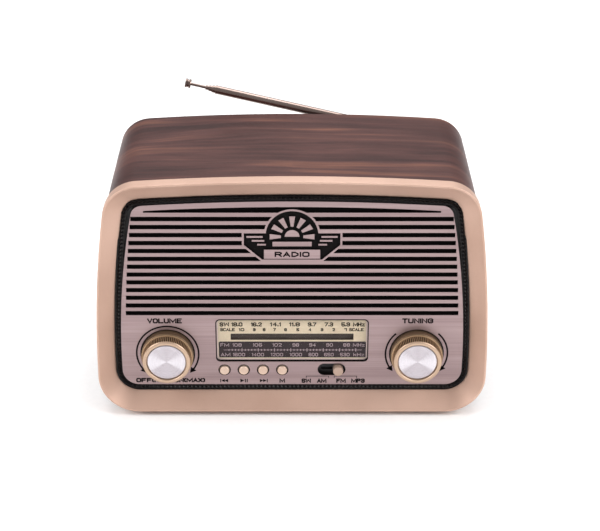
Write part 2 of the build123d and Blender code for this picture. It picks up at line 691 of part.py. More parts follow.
for button_name, button_x in zip(BUTTON_NAMES, BUTTON_XS):
    with BuildPart() as button:
        with BuildSketch(turning_plane(button_x, BUTTON_HEIGHT)):
            with BuildLine():
                Polyline(
                    (0, 14.2), (1.9, 14.2), (1.9, 9.5), (4.2, 9.5), (4.2, 8.7), (2.75, 8.7), (2.75, 6.2)
                )
                ThreePointArc((2.75, 6.2), (2.6, 5.8), (2.2, 5.65))
                dome(2.2, 5.65, 5.9)
                Line((0, 5.9), (0, 14.2))
            make_face()
        revolve(axis=depth_axis(button_x, BUTTON_HEIGHT))
    button.part.label = button_name
    export_step(button.part, f"parts/{button_name}.step")

with BuildPart() as button_board:
    with BuildSketch(face_at(19)):
        with Locations((-22.35, BUTTON_HEIGHT)):
            Rectangle(52, 18)
    extrude(amount=-BOARD_THICKNESS)
    with BuildSketch(face_at(BAFFLE_BACK)):
        with Locations((-46.4, 17.6), (1.7, 17.6), (-46.4, 30.8), (1.7, 30.8)):
            Circle(1.6)
    extrude(amount=BAFFLE_BACK - 19)
    with BuildSketch(face_at(16.6)):
        with Locations(*[(x, BUTTON_HEIGHT) for x in BUTTON_XS]):
            Rectangle(6, 6)
    extrude(amount=-2.4)
    with BuildSketch(face_at(15.6)):
        with Locations(*[(x, BUTTON_HEIGHT) for x in BUTTON_XS]):
            Circle(1.7)
    extrude(amount=-1)
button_board.part.label = "button_board"
export_step(button_board.part, "parts/button_board.step")

with BuildPart() as mode_slider:
    with BuildSketch(face_at(3.8)):
        with Locations((SLIDER_X, SWITCH_HEIGHT)):
            Circle(2.9)
    extrude(amount=-6)
    fillet(mode_slider.faces().sort_by(Axis.Y)[0].edges(), 0.5)
    with BuildSketch(face_at(9.8)):
        with Locations((SLIDER_X, SWITCH_HEIGHT)):
            Rectangle(3, 3)
    extrude(amount=-4.8)
mode_slider.part.label = "mode_slider"
export_step(mode_slider.part, "parts/mode_slider.step")

with BuildPart() as mode_switch_body:
    with BuildSketch(face_at(BAFFLE_BACK)):
        with Locations((SWITCH_X, SWITCH_HEIGHT)):
            Rectangle(20, 9)
    extrude(amount=-6)
    with BuildSketch(face_at(BAFFLE_BACK)):
        with Locations((SWITCH_X, SWITCH_HEIGHT)):
            Rectangle(12, 4.2)
    extrude(amount=-3, mode=Mode.SUBTRACT)
    with BuildSketch(face_at(19)):
        with Locations(*[(SWITCH_X - 7.5 + 2.5 * pin, SWITCH_HEIGHT) for pin in range(7)]):
            Rectangle(0.8, 0.8)
    extrude(amount=-2)
mode_switch_body.part.label = "mode_switch_body"
export_step(mode_switch_body.part, "parts/mode_switch_body.step")

# ======================================================================== speaker

with BuildPart() as speaker_basket:
    with BuildSketch(turning_plane(0, SPEAKER_HEIGHT)):
        with BuildLine():
            Polyline(
                (30.6, 13), (SPEAKER_RADIUS, 13), (SPEAKER_RADIUS, 14.4), (31.8, 14.4), (31.8, 18),
                (20.5, 34), (20.5, 35.4), (10, 35.4), (10, 34.2), (19.6, 34.2), (30.6, 17.8),
                close=True,
            )
        make_face()
    revolve(axis=depth_axis(0, SPEAKER_HEIGHT))
    with BuildSketch(face_at(19)):
        with Locations((0, SPEAKER_HEIGHT)):
            with PolarLocations(26, 6):
                RectangleRounded(9, 16, 2)
    extrude(amount=-13, mode=Mode.SUBTRACT)
speaker_basket.part.label = "speaker_basket"
export_step(speaker_basket.part, "parts/speaker_basket.step")

with BuildPart() as speaker_magnet:
    with BuildSketch(face_at(35.4)):
        with Locations((0, SPEAKER_HEIGHT)):
            Circle(20)
            Circle(9, mode=Mode.SUBTRACT)
    extrude(amount=-9)
    with BuildSketch(face_at(44.4)):
        with Locations((0, SPEAKER_HEIGHT)):
            Circle(17)
    extrude(amount=-2)
    with BuildSketch(face_at(36)):
        with Locations((0, SPEAKER_HEIGHT)):
            Circle(6.6)
    extrude(amount=-8.4)
speaker_magnet.part.label = "speaker_magnet"
export_step(speaker_magnet.part, "parts/speaker_magnet.step")

with BuildPart() as speaker_cone:
    with BuildSketch(turning_plane(0, SPEAKER_HEIGHT)):
        with BuildLine():
            Polyline(
                (26, 16.4), (26, 17.2), (8.6, 29), (8.6, 39), (7.8, 39), (7.8, 28.6),
                close=True,
            )
        make_face()
        with BuildLine():
            dome(9.4, 26.9, 22.6)
            Line((0, 22.6), (0, 23.2))
            dome(9.2, 27.8, 23.2)
            Line((9.2, 27.8), (9.4, 26.9))
        make_face()
    revolve(axis=depth_axis(0, SPEAKER_HEIGHT))
speaker_cone.part.label = "speaker_cone"
export_step(speaker_cone.part, "parts/speaker_cone.step")

with BuildPart() as speaker_surround:
    with BuildSketch(turning_plane(0, SPEAKER_HEIGHT)):
        with BuildLine():
            ThreePointArc((26.5, 16.6), (28.5, 14.6), (30.6, 16.6))
            Line((30.6, 16.6), (30, 16.6))
            ThreePointArc((30, 16.6), (28.5, 15.2), (27.1, 16.6))
            Line((27.1, 16.6), (26.5, 16.6))
        make_face()
    revolve(axis=depth_axis(0, SPEAKER_HEIGHT))
speaker_surround.part.label = "speaker_surround"
export_step(speaker_surround.part, "parts/speaker_surround.step")

# ======================================================================== circuit boards

with BuildPart() as main_board:
    with BuildSketch(face_at(MAIN_BOARD_DEPTH)):
        with Locations(MAIN_BOARD_CENTRE):
            Rectangle(*MAIN_BOARD_SIZE)
        with Locations(*STANDOFF_SPOTS):
            Circle(1.5, mode=Mode.SUBTRACT)
    extrude(amount=-BOARD_THICKNESS)
    with BuildSketch(face_at(MAIN_BOARD_DEPTH + BOARD_THICKNESS)):
        with Locations((10, 38), (40, 24)):
            Rectangle(14, 9)
        with Locations((62, 46)):
            Rectangle(9, 9)
    extrude(amount=-2.2)
    with BuildSketch(face_at(MAIN_BOARD_DEPTH + BOARD_THICKNESS)):
        with Locations((-4, 22), (22, 20), (78, 22)):
            Circle(4)
    extrude(amount=-11)
    with BuildSketch(face_at(MAIN_BOARD_DEPTH + BOARD_THICKNESS)):
        with Locations((0, 48), (30, 46), (56, 16)):
            Circle(2.5)
    extrude(amount=-7)
main_board.part.label = "main_board"
export_step(main_board.part, "parts/main_board.step")

with BuildPart() as board_standoffs:
    with BuildSketch(face_at(BAFFLE_BACK)):
        with Locations(*STANDOFF_SPOTS):
            RegularPolygon(2.75, 6, major_radius=False)
            Circle(1.3, mode=Mode.SUBTRACT)
    extrude(amount=BAFFLE_BACK - MAIN_BOARD_DEPTH)
board_standoffs.part.label = "board_standoffs"
export_step(board_standoffs.part, "parts/board_standoffs.step")

# ======================================================================== ferrite aerial

with BuildPart() as ferrite_rod:
    with BuildSketch(side_at(-50)):
        with Locations((FERRITE_DEPTH, FERRITE_HEIGHT)):
            Circle(FERRITE_RADIUS)
    extrude(amount=100)
ferrite_rod.part.label = "ferrite_rod"
export_step(ferrite_rod.part, "parts/ferrite_rod.step")

with BuildPart() as ferrite_coil:
    with BuildSketch(side_at(8)):
        with Locations((FERRITE_DEPTH, FERRITE_HEIGHT)):
            Circle(5.4)
            Circle(FERRITE_RADIUS, mode=Mode.SUBTRACT)
    extrude(amount=22)
ferrite_coil.part.label = "ferrite_coil"
export_step(ferrite_coil.part, "parts/ferrite_coil.step")

# ======================================================================== rear cover and battery

with BuildPart() as rear_cover:
    extrude(cabinet_outline(COVER_DEPTH, COVER_INSET), amount=-COVER_THICKNESS)
    with BuildSketch(face_at(COVER_DEPTH)):
        for vent_x in (-48, 30):
            with Locations((vent_x, 92)):
                with GridLocations(0, 6, 1, 8):
                    SlotOverall(56, 2.6)
        with Locations(BATTERY_CENTRE):
            Rectangle(*BATTERY_OPENING)
        with Locations((USB_X, JACK_FLOOR + 3.5)):
            Rectangle(14.2, 7)
        with Locations((CARD_X, JACK_FLOOR + 1.3)):
            Rectangle(14.6, 3.4)
        with Locations((AUX_X, JACK_FLOOR + 3.5)):
            Circle(3.4)
        with Locations((POWER_X, JACK_FLOOR + 5.5)):
            Circle(4.1)
        with Locations(*BOSS_SPOTS):
            Circle(1.7)
    extrude(amount=-COVER_THICKNESS, mode=Mode.SUBTRACT)
    with BuildSketch(face_at(COVER_DEPTH)):
        with Locations(BATTERY_CENTRE):
            Rectangle(BATTERY_OPENING[0] + 4, BATTERY_OPENING[1] + 4)
            Rectangle(*BATTERY_OPENING, mode=Mode.SUBTRACT)
    extrude(amount=24)
    with BuildSketch(face_at(COVER_DEPTH - 24)):
        with Locations(BATTERY_CENTRE):
            Rectangle(BATTERY_OPENING[0] + 4, BATTERY_OPENING[1] + 4)
    extrude(amount=2)
    with BuildSketch(face_at(COVER_DEPTH - 24)):
        with Locations(BATTERY_CENTRE):
            with GridLocations(40, 0, 2, 1):
                Rectangle(3, 10)
    extrude(amount=CELL_RADIUS + COVER_DEPTH - 24 - CELL_DEPTH)
    with BuildSketch(face_at(COVER_DEPTH)):
        with Locations((JACK_BOARD_X, JACK_FLOOR - BOARD_THICKNESS - 1)):
            Rectangle(JACK_BOARD_WIDTH, 2)
    extrude(amount=20)
    with BuildSketch(side_at(BATTERY_CENTRE[0])):
        with Locations((DOOR_AXIS_DEPTH, DOOR_AXIS_HEIGHT)):
            Circle(0.9 + RUNNING_CLEARANCE)
    extrude(amount=BATTERY_OPENING[0] / 2 + 2, both=True, mode=Mode.SUBTRACT)
    with BuildSketch(antenna_plane(behind=COVER_BACK - ANTENNA_DEPTH)):
        Circle(8)
    extrude(amount=1.5)
    with BuildSketch(antenna_plane(behind=COVER_DEPTH - ANTENNA_DEPTH)):
        Circle(2)
    extrude(amount=5, mode=Mode.SUBTRACT)
rear_cover.part.label = "rear_cover"
export_step(rear_cover.part, "parts/rear_cover.step")

with BuildPart() as rear_screws:
    for spot_x, spot_height in BOSS_SPOTS:
        with BuildSketch(turning_plane(spot_x, spot_height)):
            with BuildLine():
                Polyline((0, 90.5), (1.3, 92), (1.3, 103), (3, 103), (3, 104))
                dome(3, 104, 105)
                Line((0, 105), (0, 90.5))
            make_face()
        revolve(axis=depth_axis(spot_x, spot_height))
    with BuildSketch(face_at(105)):
        with Locations(*BOSS_SPOTS):
            Rectangle(3, 0.7)
            Rectangle(0.7, 3)
    extrude(amount=1.2, mode=Mode.SUBTRACT)
rear_screws.part.label = "rear_screws"
export_step(rear_screws.part, "parts/rear_screws.step")

with BuildPart() as battery_cell:
    with BuildSketch(side_at(BATTERY_CENTRE[0] - 32.5)):
        with Locations((CELL_DEPTH, BATTERY_CENTRE[1])):
            Circle(CELL_RADIUS)
    extrude(amount=65)
    chamfer(battery_cell.edges().filter_by(GeomType.CIRCLE), 0.6)
    with BuildSketch(side_at(BATTERY_CENTRE[0] + 32.5)):
        with Locations((CELL_DEPTH, BATTERY_CENTRE[1])):
            Circle(3.2)
    extrude(amount=1.4)
battery_cell.part.label = "battery_cell"
export_step(battery_cell.part, "parts/battery_cell.step")

# The door swings down on a barrel along its lower edge and snaps shut at its upper edge.
door_top = BATTERY_CENTRE[1] + BATTERY_OPENING[1] / 2 - 0.5
with BuildPart() as battery_door:
    with BuildSketch(side_at(BATTERY_CENTRE[0] - BATTERY_OPENING[0] / 2 + 0.5)):
        with Locations((DOOR_AXIS_DEPTH, DOOR_AXIS_HEIGHT)):
            Circle(1.5)
        with Locations((COVER_BACK - 1, (DOOR_AXIS_HEIGHT + door_top) / 2)):
            Rectangle(2, door_top - DOOR_AXIS_HEIGHT)
    extrude(amount=BATTERY_OPENING[0] - 1)
    with BuildSketch(side_at(BATTERY_CENTRE[0])):
        with Locations((DOOR_AXIS_DEPTH, DOOR_AXIS_HEIGHT)):
            Circle(0.9)
    extrude(amount=BATTERY_OPENING[0] / 2 + 1.5, both=True)
    with BuildSketch(face_at(COVER_BACK)):
        with Locations(*[(BATTERY_CENTRE[0], BATTERY_CENTRE[1] + 4 + 2 * rib) for rib in range(4)]):
            Rectangle(16, 0.9)
    extrude(amount=-0.5)
battery_door.part.label = "battery_door"
export_step(battery_door.part, "parts/battery_door.step")

# ======================================================================== jacks

with BuildPart() as jack_board:
    with BuildSketch(level_at(JACK_FLOOR)):
        with Locations((JACK_BOARD_X, 88)):
            Rectangle(JACK_BOARD_WIDTH, 24)
    extrude(amount=-BOARD_THICKNESS)
jack_board.part.label = "jack_board"
export_step(jack_board.part, "parts/jack_board.step")

with BuildPart() as usb_socket:
    with BuildSketch(face_at(101.5)):
        with Locations((USB_X, JACK_FLOOR + 3.5)):
            Rectangle(13.6, 6.4)
    extrude(amount=14)
    with BuildSketch(face_at(101.5)):
        with Locations((USB_X, JACK_FLOOR + 3.5)):
            Rectangle(12.6, 5.2)
            with Locations((0, 1)):
                Rectangle(11.4, 1.9, mode=Mode.SUBTRACT)
    extrude(amount=12, mode=Mode.SUBTRACT)
usb_socket.part.label = "usb_socket"
export_step(usb_socket.part, "parts/usb_socket.step")

with BuildPart() as card_socket:
    with BuildSketch(face_at(101.5)):
        with Locations((CARD_X, JACK_FLOOR + 1.3)):
            Rectangle(14, 2.6)
    extrude(amount=15)
    with BuildSketch(face_at(101.5)):
        with Locations((CARD_X, JACK_FLOOR + 1.5)):
            Rectangle(11.4, 1)
    extrude(amount=13, mode=Mode.SUBTRACT)
card_socket.part.label = "card_socket"
export_step(card_socket.part, "parts/card_socket.step")

with BuildPart() as aux_jack:
    with BuildSketch(face_at(COVER_DEPTH)):
        with Locations((AUX_X, JACK_FLOOR + 3.5)):
            Rectangle(10, 7)
    extrude(amount=15)
    with BuildSketch(face_at(COVER_DEPTH + 2.5)):
        with Locations((AUX_X, JACK_FLOOR + 3.5)):
            Circle(3)
    extrude(amount=2.5)
    with BuildSketch(face_at(COVER_DEPTH + 2.5)):
        with Locations((AUX_X, JACK_FLOOR + 3.5)):
            Circle(1.8)
    extrude(amount=15, mode=Mode.SUBTRACT)
aux_jack.part.label = "aux_jack"
export_step(aux_jack.part, "parts/aux_jack.step")

with BuildPart() as power_jack:
    with BuildSketch(face_at(COVER_DEPTH)):
        with Locations((POWER_X, JACK_FLOOR + 5.5)):
            Rectangle(9, 11)
    extrude(amount=13)
    with BuildSketch(face_at(COVER_DEPTH + 2.5)):
        with Locations((POWER_X, JACK_FLOOR + 5.5)):
            Circle(3.8)
    extrude(amount=2.5)
    with BuildSketch(face_at(COVER_DEPTH + 2.5)):
        with Locations((POWER_X, JACK_FLOOR + 5.5)):
            Circle(2.8)
    extrude(amount=11.5, mode=Mode.SUBTRACT)
    with BuildSketch(face_at(COVER_DEPTH + 1.5)):
        with Locations((POWER_X, JACK_FLOOR + 5.5)):
            Circle(1)
    extrude(amount=11)
power_jack.part.label = "power_jack"
export_step(power_jack.part, "parts/power_jack.step")

with BuildPart() as feet:
    with BuildSketch(level_at(-FOOT_HEIGHT)):
        with Locations((-76, 20), (76, 20), (-76, 92), (76, 92)):
            Circle(7)
    extrude(amount=FOOT_HEIGHT + WOOD_INSET[1])
    chamfer(feet.faces().sort_by(Axis.Z)[0:4].edges(), 0.6)
feet.part.label = "feet"
export_step(feet.part, "parts/feet.step")

# ======================================================================== antenna

with BuildPart() as antenna_screw:
    with BuildSketch(antenna_plane(behind=COVER_DEPTH - ANTENNA_DEPTH)):
        Circle(2)
    extrude(amount=ANTENNA_DEPTH - COVER_DEPTH + 3.8)
    with BuildSketch(antenna_plane(behind=3.8)):
        Circle(3.4)
    extrude(amount=ANTENNA_REACH - ANTENNA_DEPTH - 3.8)
    with BuildSketch(antenna_plane(behind=ANTENNA_REACH - ANTENNA_DEPTH)):
        Rectangle(4, 0.8)
    extrude(amount=-0.6, mode=Mode.SUBTRACT)
antenna_screw.part.label = "antenna_screw"
export_step(antenna_screw.part, "parts/antenna_screw.step")

with BuildPart() as antenna_knuckle:
    with BuildSketch(antenna_plane(behind=-5.2)):
        Circle(5)
    extrude(amount=8.7)
    with BuildSketch(antenna_plane(behind=-2.8)):
        with Locations((ELBOW_REACH / 2, 0)):
            Rectangle(ELBOW_REACH, 7.6)
    extrude(amount=5.6)
    with BuildSketch(Plane(antenna_plane(ELBOW_REACH).origin, x_dir=(0, 1, 0), z_dir=antenna_plane().y_dir)):
        Circle(2.8)
    extrude(amount=3.8, both=True)
    with BuildSketch(antenna_plane(ELBOW_REACH, behind=-6)):
        with Locations((1, 0)):
            Rectangle(7.2, 5.2)
    extrude(amount=12, mode=Mode.SUBTRACT)
    with BuildSketch(antenna_plane(behind=-6)):
        Circle(2 + RUNNING_CLEARANCE)
    extrude(amount=12, mode=Mode.SUBTRACT)
    with BuildSketch(Plane(antenna_plane(ELBOW_REACH).origin, x_dir=(0, 1, 0), z_dir=antenna_plane().y_dir)):
        Circle(1)
    extrude(amount=5, both=True, mode=Mode.SUBTRACT)
antenna_knuckle.part.label = "antenna_knuckle"
export_step(antenna_knuckle.part, "parts/antenna_knuckle.step")

with BuildPart() as elbow_pin:
    with BuildSketch(Plane(antenna_plane(ELBOW_REACH).origin, x_dir=(0, 1, 0), z_dir=antenna_plane().y_dir)):
        Circle(1)
    extrude(amount=4, both=True)
elbow_pin.part.label = "elbow_pin"
export_step(elbow_pin.part, "parts/elbow_pin.step")

with BuildPart() as antenna_elbow:
    with BuildSketch(Plane(antenna_plane(ELBOW_REACH).origin, x_dir=(0, 1, 0), z_dir=antenna_plane().y_dir)):
        Circle(2.2)
    extrude(amount=2.2, both=True)
    with BuildSketch(antenna_section_plane(ELBOW_REACH)):
        Circle(2.0)
    extrude(amount=5)
    with BuildSketch(antenna_section_plane(TUBE_STARTS[0])):
        Circle(TUBE_RADII[0] - TUBE_WALL)
    extrude(amount=8)
    with BuildSketch(Plane(antenna_plane(ELBOW_REACH).origin, x_dir=(0, 1, 0), z_dir=antenna_plane().y_dir)):
        Circle(1 + RUNNING_CLEARANCE)
    extrude(amount=5, both=True, mode=Mode.SUBTRACT)
antenna_elbow.part.label = "antenna_elbow"
export_step(antenna_elbow.part, "parts/antenna_elbow.step")

for number, (radius, start, end) in enumerate(zip(TUBE_RADII, TUBE_STARTS, TUBE_ENDS), start=1):
    with BuildPart() as tube:
        with BuildSketch(antenna_section_plane(start)):
            Circle(radius)
            Circle(radius - TUBE_WALL, mode=Mode.SUBTRACT)
        extrude(amount=end - start)
    tube.part.label = f"antenna_tube_{number}"
    export_step(tube.part, f"parts/antenna_tube_{number}.step")

with BuildPart() as antenna_rod:
    with BuildSketch(antenna_section_plane(ROD_START)):
        Circle(ROD_RADIUS)
    extrude(amount=ROD_END - ROD_START)
antenna_rod.part.label = "antenna_rod"
export_step(antenna_rod.part, "parts/antenna_rod.step")

with BuildPart() as antenna_tip:
    with BuildSketch(antenna_section_plane(ROD_END)):
        Circle(2.8)
    extrude(amount=TIP_END - ROD_END)
    fillet(antenna_tip.edges().filter_by(GeomType.CIRCLE), 0.7)
antenna_tip.part.label = "antenna_tip"
export_step(antenna_tip.part, "parts/antenna_tip.step")
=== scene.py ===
"""Looks of the retro tabletop radio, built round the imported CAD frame. Metres, +Z up, the front faces -Y."""

import math

import bmesh
import bpy
from mathutils import Matrix, Vector


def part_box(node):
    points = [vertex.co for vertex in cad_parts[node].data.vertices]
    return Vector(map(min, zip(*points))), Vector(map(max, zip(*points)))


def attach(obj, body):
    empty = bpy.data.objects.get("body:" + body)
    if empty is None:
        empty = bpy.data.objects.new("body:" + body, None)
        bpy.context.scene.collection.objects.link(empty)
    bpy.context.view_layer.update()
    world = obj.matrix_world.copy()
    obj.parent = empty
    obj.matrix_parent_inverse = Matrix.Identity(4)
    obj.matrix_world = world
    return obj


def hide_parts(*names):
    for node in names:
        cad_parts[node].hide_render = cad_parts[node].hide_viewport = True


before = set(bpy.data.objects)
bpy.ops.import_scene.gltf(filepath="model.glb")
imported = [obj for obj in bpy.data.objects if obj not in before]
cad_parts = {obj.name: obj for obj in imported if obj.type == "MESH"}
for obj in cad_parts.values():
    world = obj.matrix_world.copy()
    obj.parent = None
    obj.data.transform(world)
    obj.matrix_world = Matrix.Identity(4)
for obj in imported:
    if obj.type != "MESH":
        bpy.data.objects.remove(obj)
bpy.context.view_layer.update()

MM = 0.001
bezel_low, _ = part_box("front_bezel")
FRONT_Y = bezel_low.y
BASE_Z = bezel_low.z


def spot(x, depth, height):
    """Row-frame place of x, depth behind the bezel's front edge and height above its bottom edge, in mm."""
    return Vector((x * MM, FRONT_Y + depth * MM, BASE_Z + height * MM))


def centre_of(node):
    low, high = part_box(node)
    return (low + high) / 2


# ---- Outline of the front, in millimetres, as in the CAD
HALF_WIDTH = 111.2
WIDEST_HEIGHT = 25
SIDE_RADIUS = 750
HEIGHT = 145.5
CROWN_RADIUS = 1300
TOP_CORNER = 20
BOTTOM_CORNER = 23
PANEL_DEPTH = 6.8
PANEL_BACK = 8.3


# ======================================================================== materials


class Shader:
    """A Principled material whose nodes are added one at a time."""

    def __init__(self, name, **inputs):
        self.material = bpy.data.materials.new(name)
        self.material.use_nodes = True
        self.tree = self.material.node_tree
        self.surface = self.tree.nodes["Principled BSDF"]
        self.coords = self.node("ShaderNodeTexCoord").outputs["Object"]
        for socket, value in inputs.items():
            self.surface.inputs[socket.replace("_", " ")].default_value = value

    def node(self, kind, **settings):
        made = self.tree.nodes.new(kind)
        for key, value in settings.items():
            setattr(made, key, value)
        return made

    def link(self, source, target):
        self.tree.links.new(source, target)

    def math(self, operation, first, second=None):
        made = self.node("ShaderNodeMath", operation=operation)
        for index, value in enumerate((first, second)):
            if value is None:
                continue
            if isinstance(value, (int, float)):
                made.inputs[index].default_value = value
            else:
                self.link(value, made.inputs[index])
        return made.outputs[0]

    def stretched(self, scale, coords=None):
        """Coordinates scaled separately along each axis."""
        mapping = self.node("ShaderNodeMapping")
        mapping.inputs["Scale"].default_value = scale
        self.link(coords or self.coords, mapping.inputs["Vector"])
        return mapping.outputs[0]

    def noise(self, scale, coords=None, detail=4.0, distortion=0.0, roughness=0.5):
        made = self.node("ShaderNodeTexNoise")
        made.inputs["Scale"].default_value = scale
        made.inputs["Detail"].default_value = detail
        made.inputs["Roughness"].default_value = roughness
        made.inputs["Distortion"].default_value = distortion
        self.link(coords or self.coords, made.inputs["Vector"])
        return made.outputs["Fac"]

    def ramp(self, factor, stops):
        """Colour ramp through (position, colour) stops."""
        made = self.node("ShaderNodeValToRGB")
        elements = made.color_ramp.elements
        while len(elements) < len(stops):
            elements.new(0.5)
        for element, (position, colour) in zip(elements, stops):
            element.position = position
            element.color = (*colour, 1)
        self.link(factor, made.inputs["Fac"])
        return made.outputs["Color"]

    def range(self, value, low, high):
        """Maps a 0 to 1 value to low to high."""
        made = self.node("ShaderNodeMapRange")
        made.inputs["To Min"].default_value = low
        made.inputs["To Max"].default_value = high
        self.link(value, made.inputs["Value"])
        return made.outputs[0]

    def colour(self, source):
        self.link(source, self.surface.inputs["Base Color"])

    def roughness(self, source):
        self.link(source, self.surface.inputs["Roughness"])

    def bump(self, height, distance, strength=1.0):
        made = self.node("ShaderNodeBump")
        made.inputs["Distance"].default_value = distance
        made.inputs["Strength"].default_value = strength
        self.link(height, made.inputs["Height"])
        self.link(made.outputs[0], self.surface.inputs["Normal"])


def srgb(red, green, blue):
    """Linear colour of an 8-bit display colour."""

    def linear(value):
        value /= 255
        return value / 12.92 if value <= 0.04045 else ((value + 0.055) / 1.055) ** 2.4

    return (linear(red), linear(green), linear(blue))


def wood_material():
    """Walnut foil whose grain follows the wrap: along X on the top and upwards on the sides."""
    shader = Shader("walnut_foil", Specular_IOR_Level=0.28)
    parts = shader.node("ShaderNodeSeparateXYZ")
    shader.link(shader.coords, parts.inputs[0])
    side = shader.math("SIGN", parts.outputs["X"])
    drop = shader.math("SUBTRACT", BASE_Z + HEIGHT * MM, parts.outputs["Z"])
    along = shader.math("ADD", parts.outputs["X"], shader.math("MULTIPLY", side, drop))
    grain = shader.node("ShaderNodeCombineXYZ")
    shader.link(along, grain.inputs["X"])
    shader.link(parts.outputs["Y"], grain.inputs["Y"])
    sway = shader.noise(4.0, shader.stretched((1.2, 4, 1), grain.outputs[0]), detail=2)
    swayed = shader.node("ShaderNodeCombineXYZ")
    shader.link(along, swayed.inputs["X"])
    shader.link(
        shader.math("ADD", parts.outputs["Y"], shader.math("MULTIPLY", sway, 0.035)), swayed.inputs["Y"]
    )
    figure = shader.noise(1.0, shader.stretched((5, 120, 1), swayed.outputs[0]), detail=6, distortion=0.25)
    patches = shader.noise(1.0, shader.stretched((9, 34, 1), swayed.outputs[0]), detail=2)
    streaks = shader.noise(1.0, shader.stretched((16, 620, 1), swayed.outputs[0]), detail=4)
    pores = shader.noise(1.0, shader.stretched((70, 2400, 1), swayed.outputs[0]), detail=3)
    blended = shader.math("ADD", shader.math("MULTIPLY", figure, 0.55), shader.math("MULTIPLY", patches, 0.45))
    base = shader.ramp(
        blended,
        (
            (0.36, srgb(50, 26, 24)),
            (0.46, srgb(70, 41, 38)),
            (0.53, srgb(82, 51, 47)),
            (0.60, srgb(110, 71, 58)),
            (0.66, srgb(88, 55, 49)),
        ),
    )
    tone = shader.ramp(streaks, ((0.34, (0.62, 0.60, 0.60)), (0.62, (1.12, 1.10, 1.10))))
    fibre = shader.ramp(pores, ((0.36, (0.62, 0.58, 0.58)), (0.50, (1, 1, 1))))
    for layer, share in ((tone, 0.8), (fibre, 0.6)):
        mixed = shader.node("ShaderNodeMix", data_type="RGBA", blend_type="MULTIPLY")
        mixed.inputs["Factor"].default_value = share
        shader.link(base, mixed.inputs[6])
        shader.link(layer, mixed.inputs[7])
        base = mixed.outputs[2]
    shader.colour(base)
    shader.roughness(shader.range(streaks, 0.34, 0.50))
    shader.bump(pores, 0.00005)
    return shader.material


def brushed_material(name, light, dark, direction, metallic=0.75, roughness=(0.30, 0.46)):
    """Metal brushed along one axis: fine streaks in its colour, gloss and surface."""
    shader = Shader(name, Metallic=metallic, Anisotropic=0.4)
    scale = [2200.0, 2200.0, 2200.0]
    scale[direction] = 14.0
    fine = shader.noise(1.0, shader.stretched(tuple(scale)), detail=3)
    scale = [320.0, 320.0, 320.0]
    scale[direction] = 5.0
    broad = shader.noise(1.0, shader.stretched(tuple(scale)), detail=3)
    streak = shader.math("MULTIPLY", shader.math("ADD", fine, broad), 0.5)
    shader.colour(shader.ramp(streak, ((0.36, dark), (0.64, light))))
    shader.roughness(shader.range(fine, *roughness))
    shader.bump(fine, 0.00002)
    return shader.material


def lacquer_material(name, light, dark, metallic, roughness, coat=0.0):
    """Metallic lacquer: a fine flake and a slow drift in its tone."""
    shader = Shader(name, Metallic=metallic, Coat_Weight=coat, Coat_Roughness=0.25)
    flake = shader.noise(5200.0, detail=2)
    drift = shader.noise(22.0, detail=3)
    tone = shader.math("ADD", shader.math("MULTIPLY", flake, 0.45), shader.math("MULTIPLY", drift, 0.55))
    shader.colour(shader.ramp(tone, ((0.36, dark), (0.64, light))))
    shader.roughness(shader.range(flake, *roughness))
    shader.bump(flake, 0.000008)
    return shader.material


def plastic_material(name, light, dark, roughness=(0.4, 0.6), grain=1800.0, depth=0.00003, **inputs):
    """Moulded plastic with a fine spark-eroded grain."""
    shader = Shader(name, **inputs)
    texture = shader.noise(grain, detail=4)
    drift = shader.noise(30.0, detail=2)
    tone = shader.math("ADD", shader.math("MULTIPLY", texture, 0.5), shader.math("MULTIPLY", drift, 0.5))
    shader.colour(shader.ramp(tone, ((0.35, dark), (0.65, light))))
    shader.roughness(shader.range(texture, *roughness))
    shader.bump(texture, depth)
    return shader.material


def spun_material(name, x, height):
    """Turned aluminium face: concentric lathe marks round a knob's axis, and painted reflection sectors in its
    colour.
    """
    shader = Shader(name, Metallic=0.9, Anisotropic=0.85)
    centred = shader.node("ShaderNodeMapping")
    centred.inputs["Location"].default_value = (-x, 0, -height)
    shader.link(shader.coords, centred.inputs["Vector"])
    flat = shader.node("ShaderNodeVectorMath", operation="MULTIPLY")
    flat.inputs[1].default_value = (1, 0, 1)
    shader.link(centred.outputs[0], flat.inputs[0])
    length = shader.node("ShaderNodeVectorMath", operation="LENGTH")
    shader.link(flat.outputs[0], length.inputs[0])
    rings = shader.node("ShaderNodeTexNoise", noise_dimensions="1D")
    rings.inputs["Scale"].default_value = 5200
    rings.inputs["Detail"].default_value = 3
    shader.link(length.outputs["Value"], rings.inputs["W"])
    parts = shader.node("ShaderNodeSeparateXYZ")
    shader.link(flat.outputs[0], parts.inputs[0])
    angle = shader.math("ARCTAN2", parts.outputs["Z"], parts.outputs["X"])
    # Painted reflection: light and grey sectors round the axis go into the colour, standing in for the spun face's
    # highlights.
    reflection_sectors = shader.node("ShaderNodeTexNoise", noise_dimensions="1D")
    reflection_sectors.inputs["Scale"].default_value = 1
    reflection_sectors.inputs["Detail"].default_value = 2
    wave = shader.math("COSINE", shader.math("MULTIPLY", angle, 2))
    shader.link(shader.math("ADD", wave, shader.math("SINE", angle)), reflection_sectors.inputs["W"])
    painted_reflection = shader.math("ADD", shader.range(wave, 0.0, 0.5), shader.math("MULTIPLY", reflection_sectors.outputs["Fac"], 0.5))
    shader.colour(shader.ramp(painted_reflection, ((0.1, srgb(176, 168, 174)), (0.95, srgb(238, 234, 240)))))
    shader.roughness(shader.range(rings.outputs["Fac"], 0.22, 0.34))
    shader.bump(rings.outputs["Fac"], 0.00001)
    tangent = shader.node("ShaderNodeTangent", direction_type="RADIAL", axis="Y")
    shader.link(tangent.outputs[0], shader.surface.inputs["Tangent"])
    return shader.material


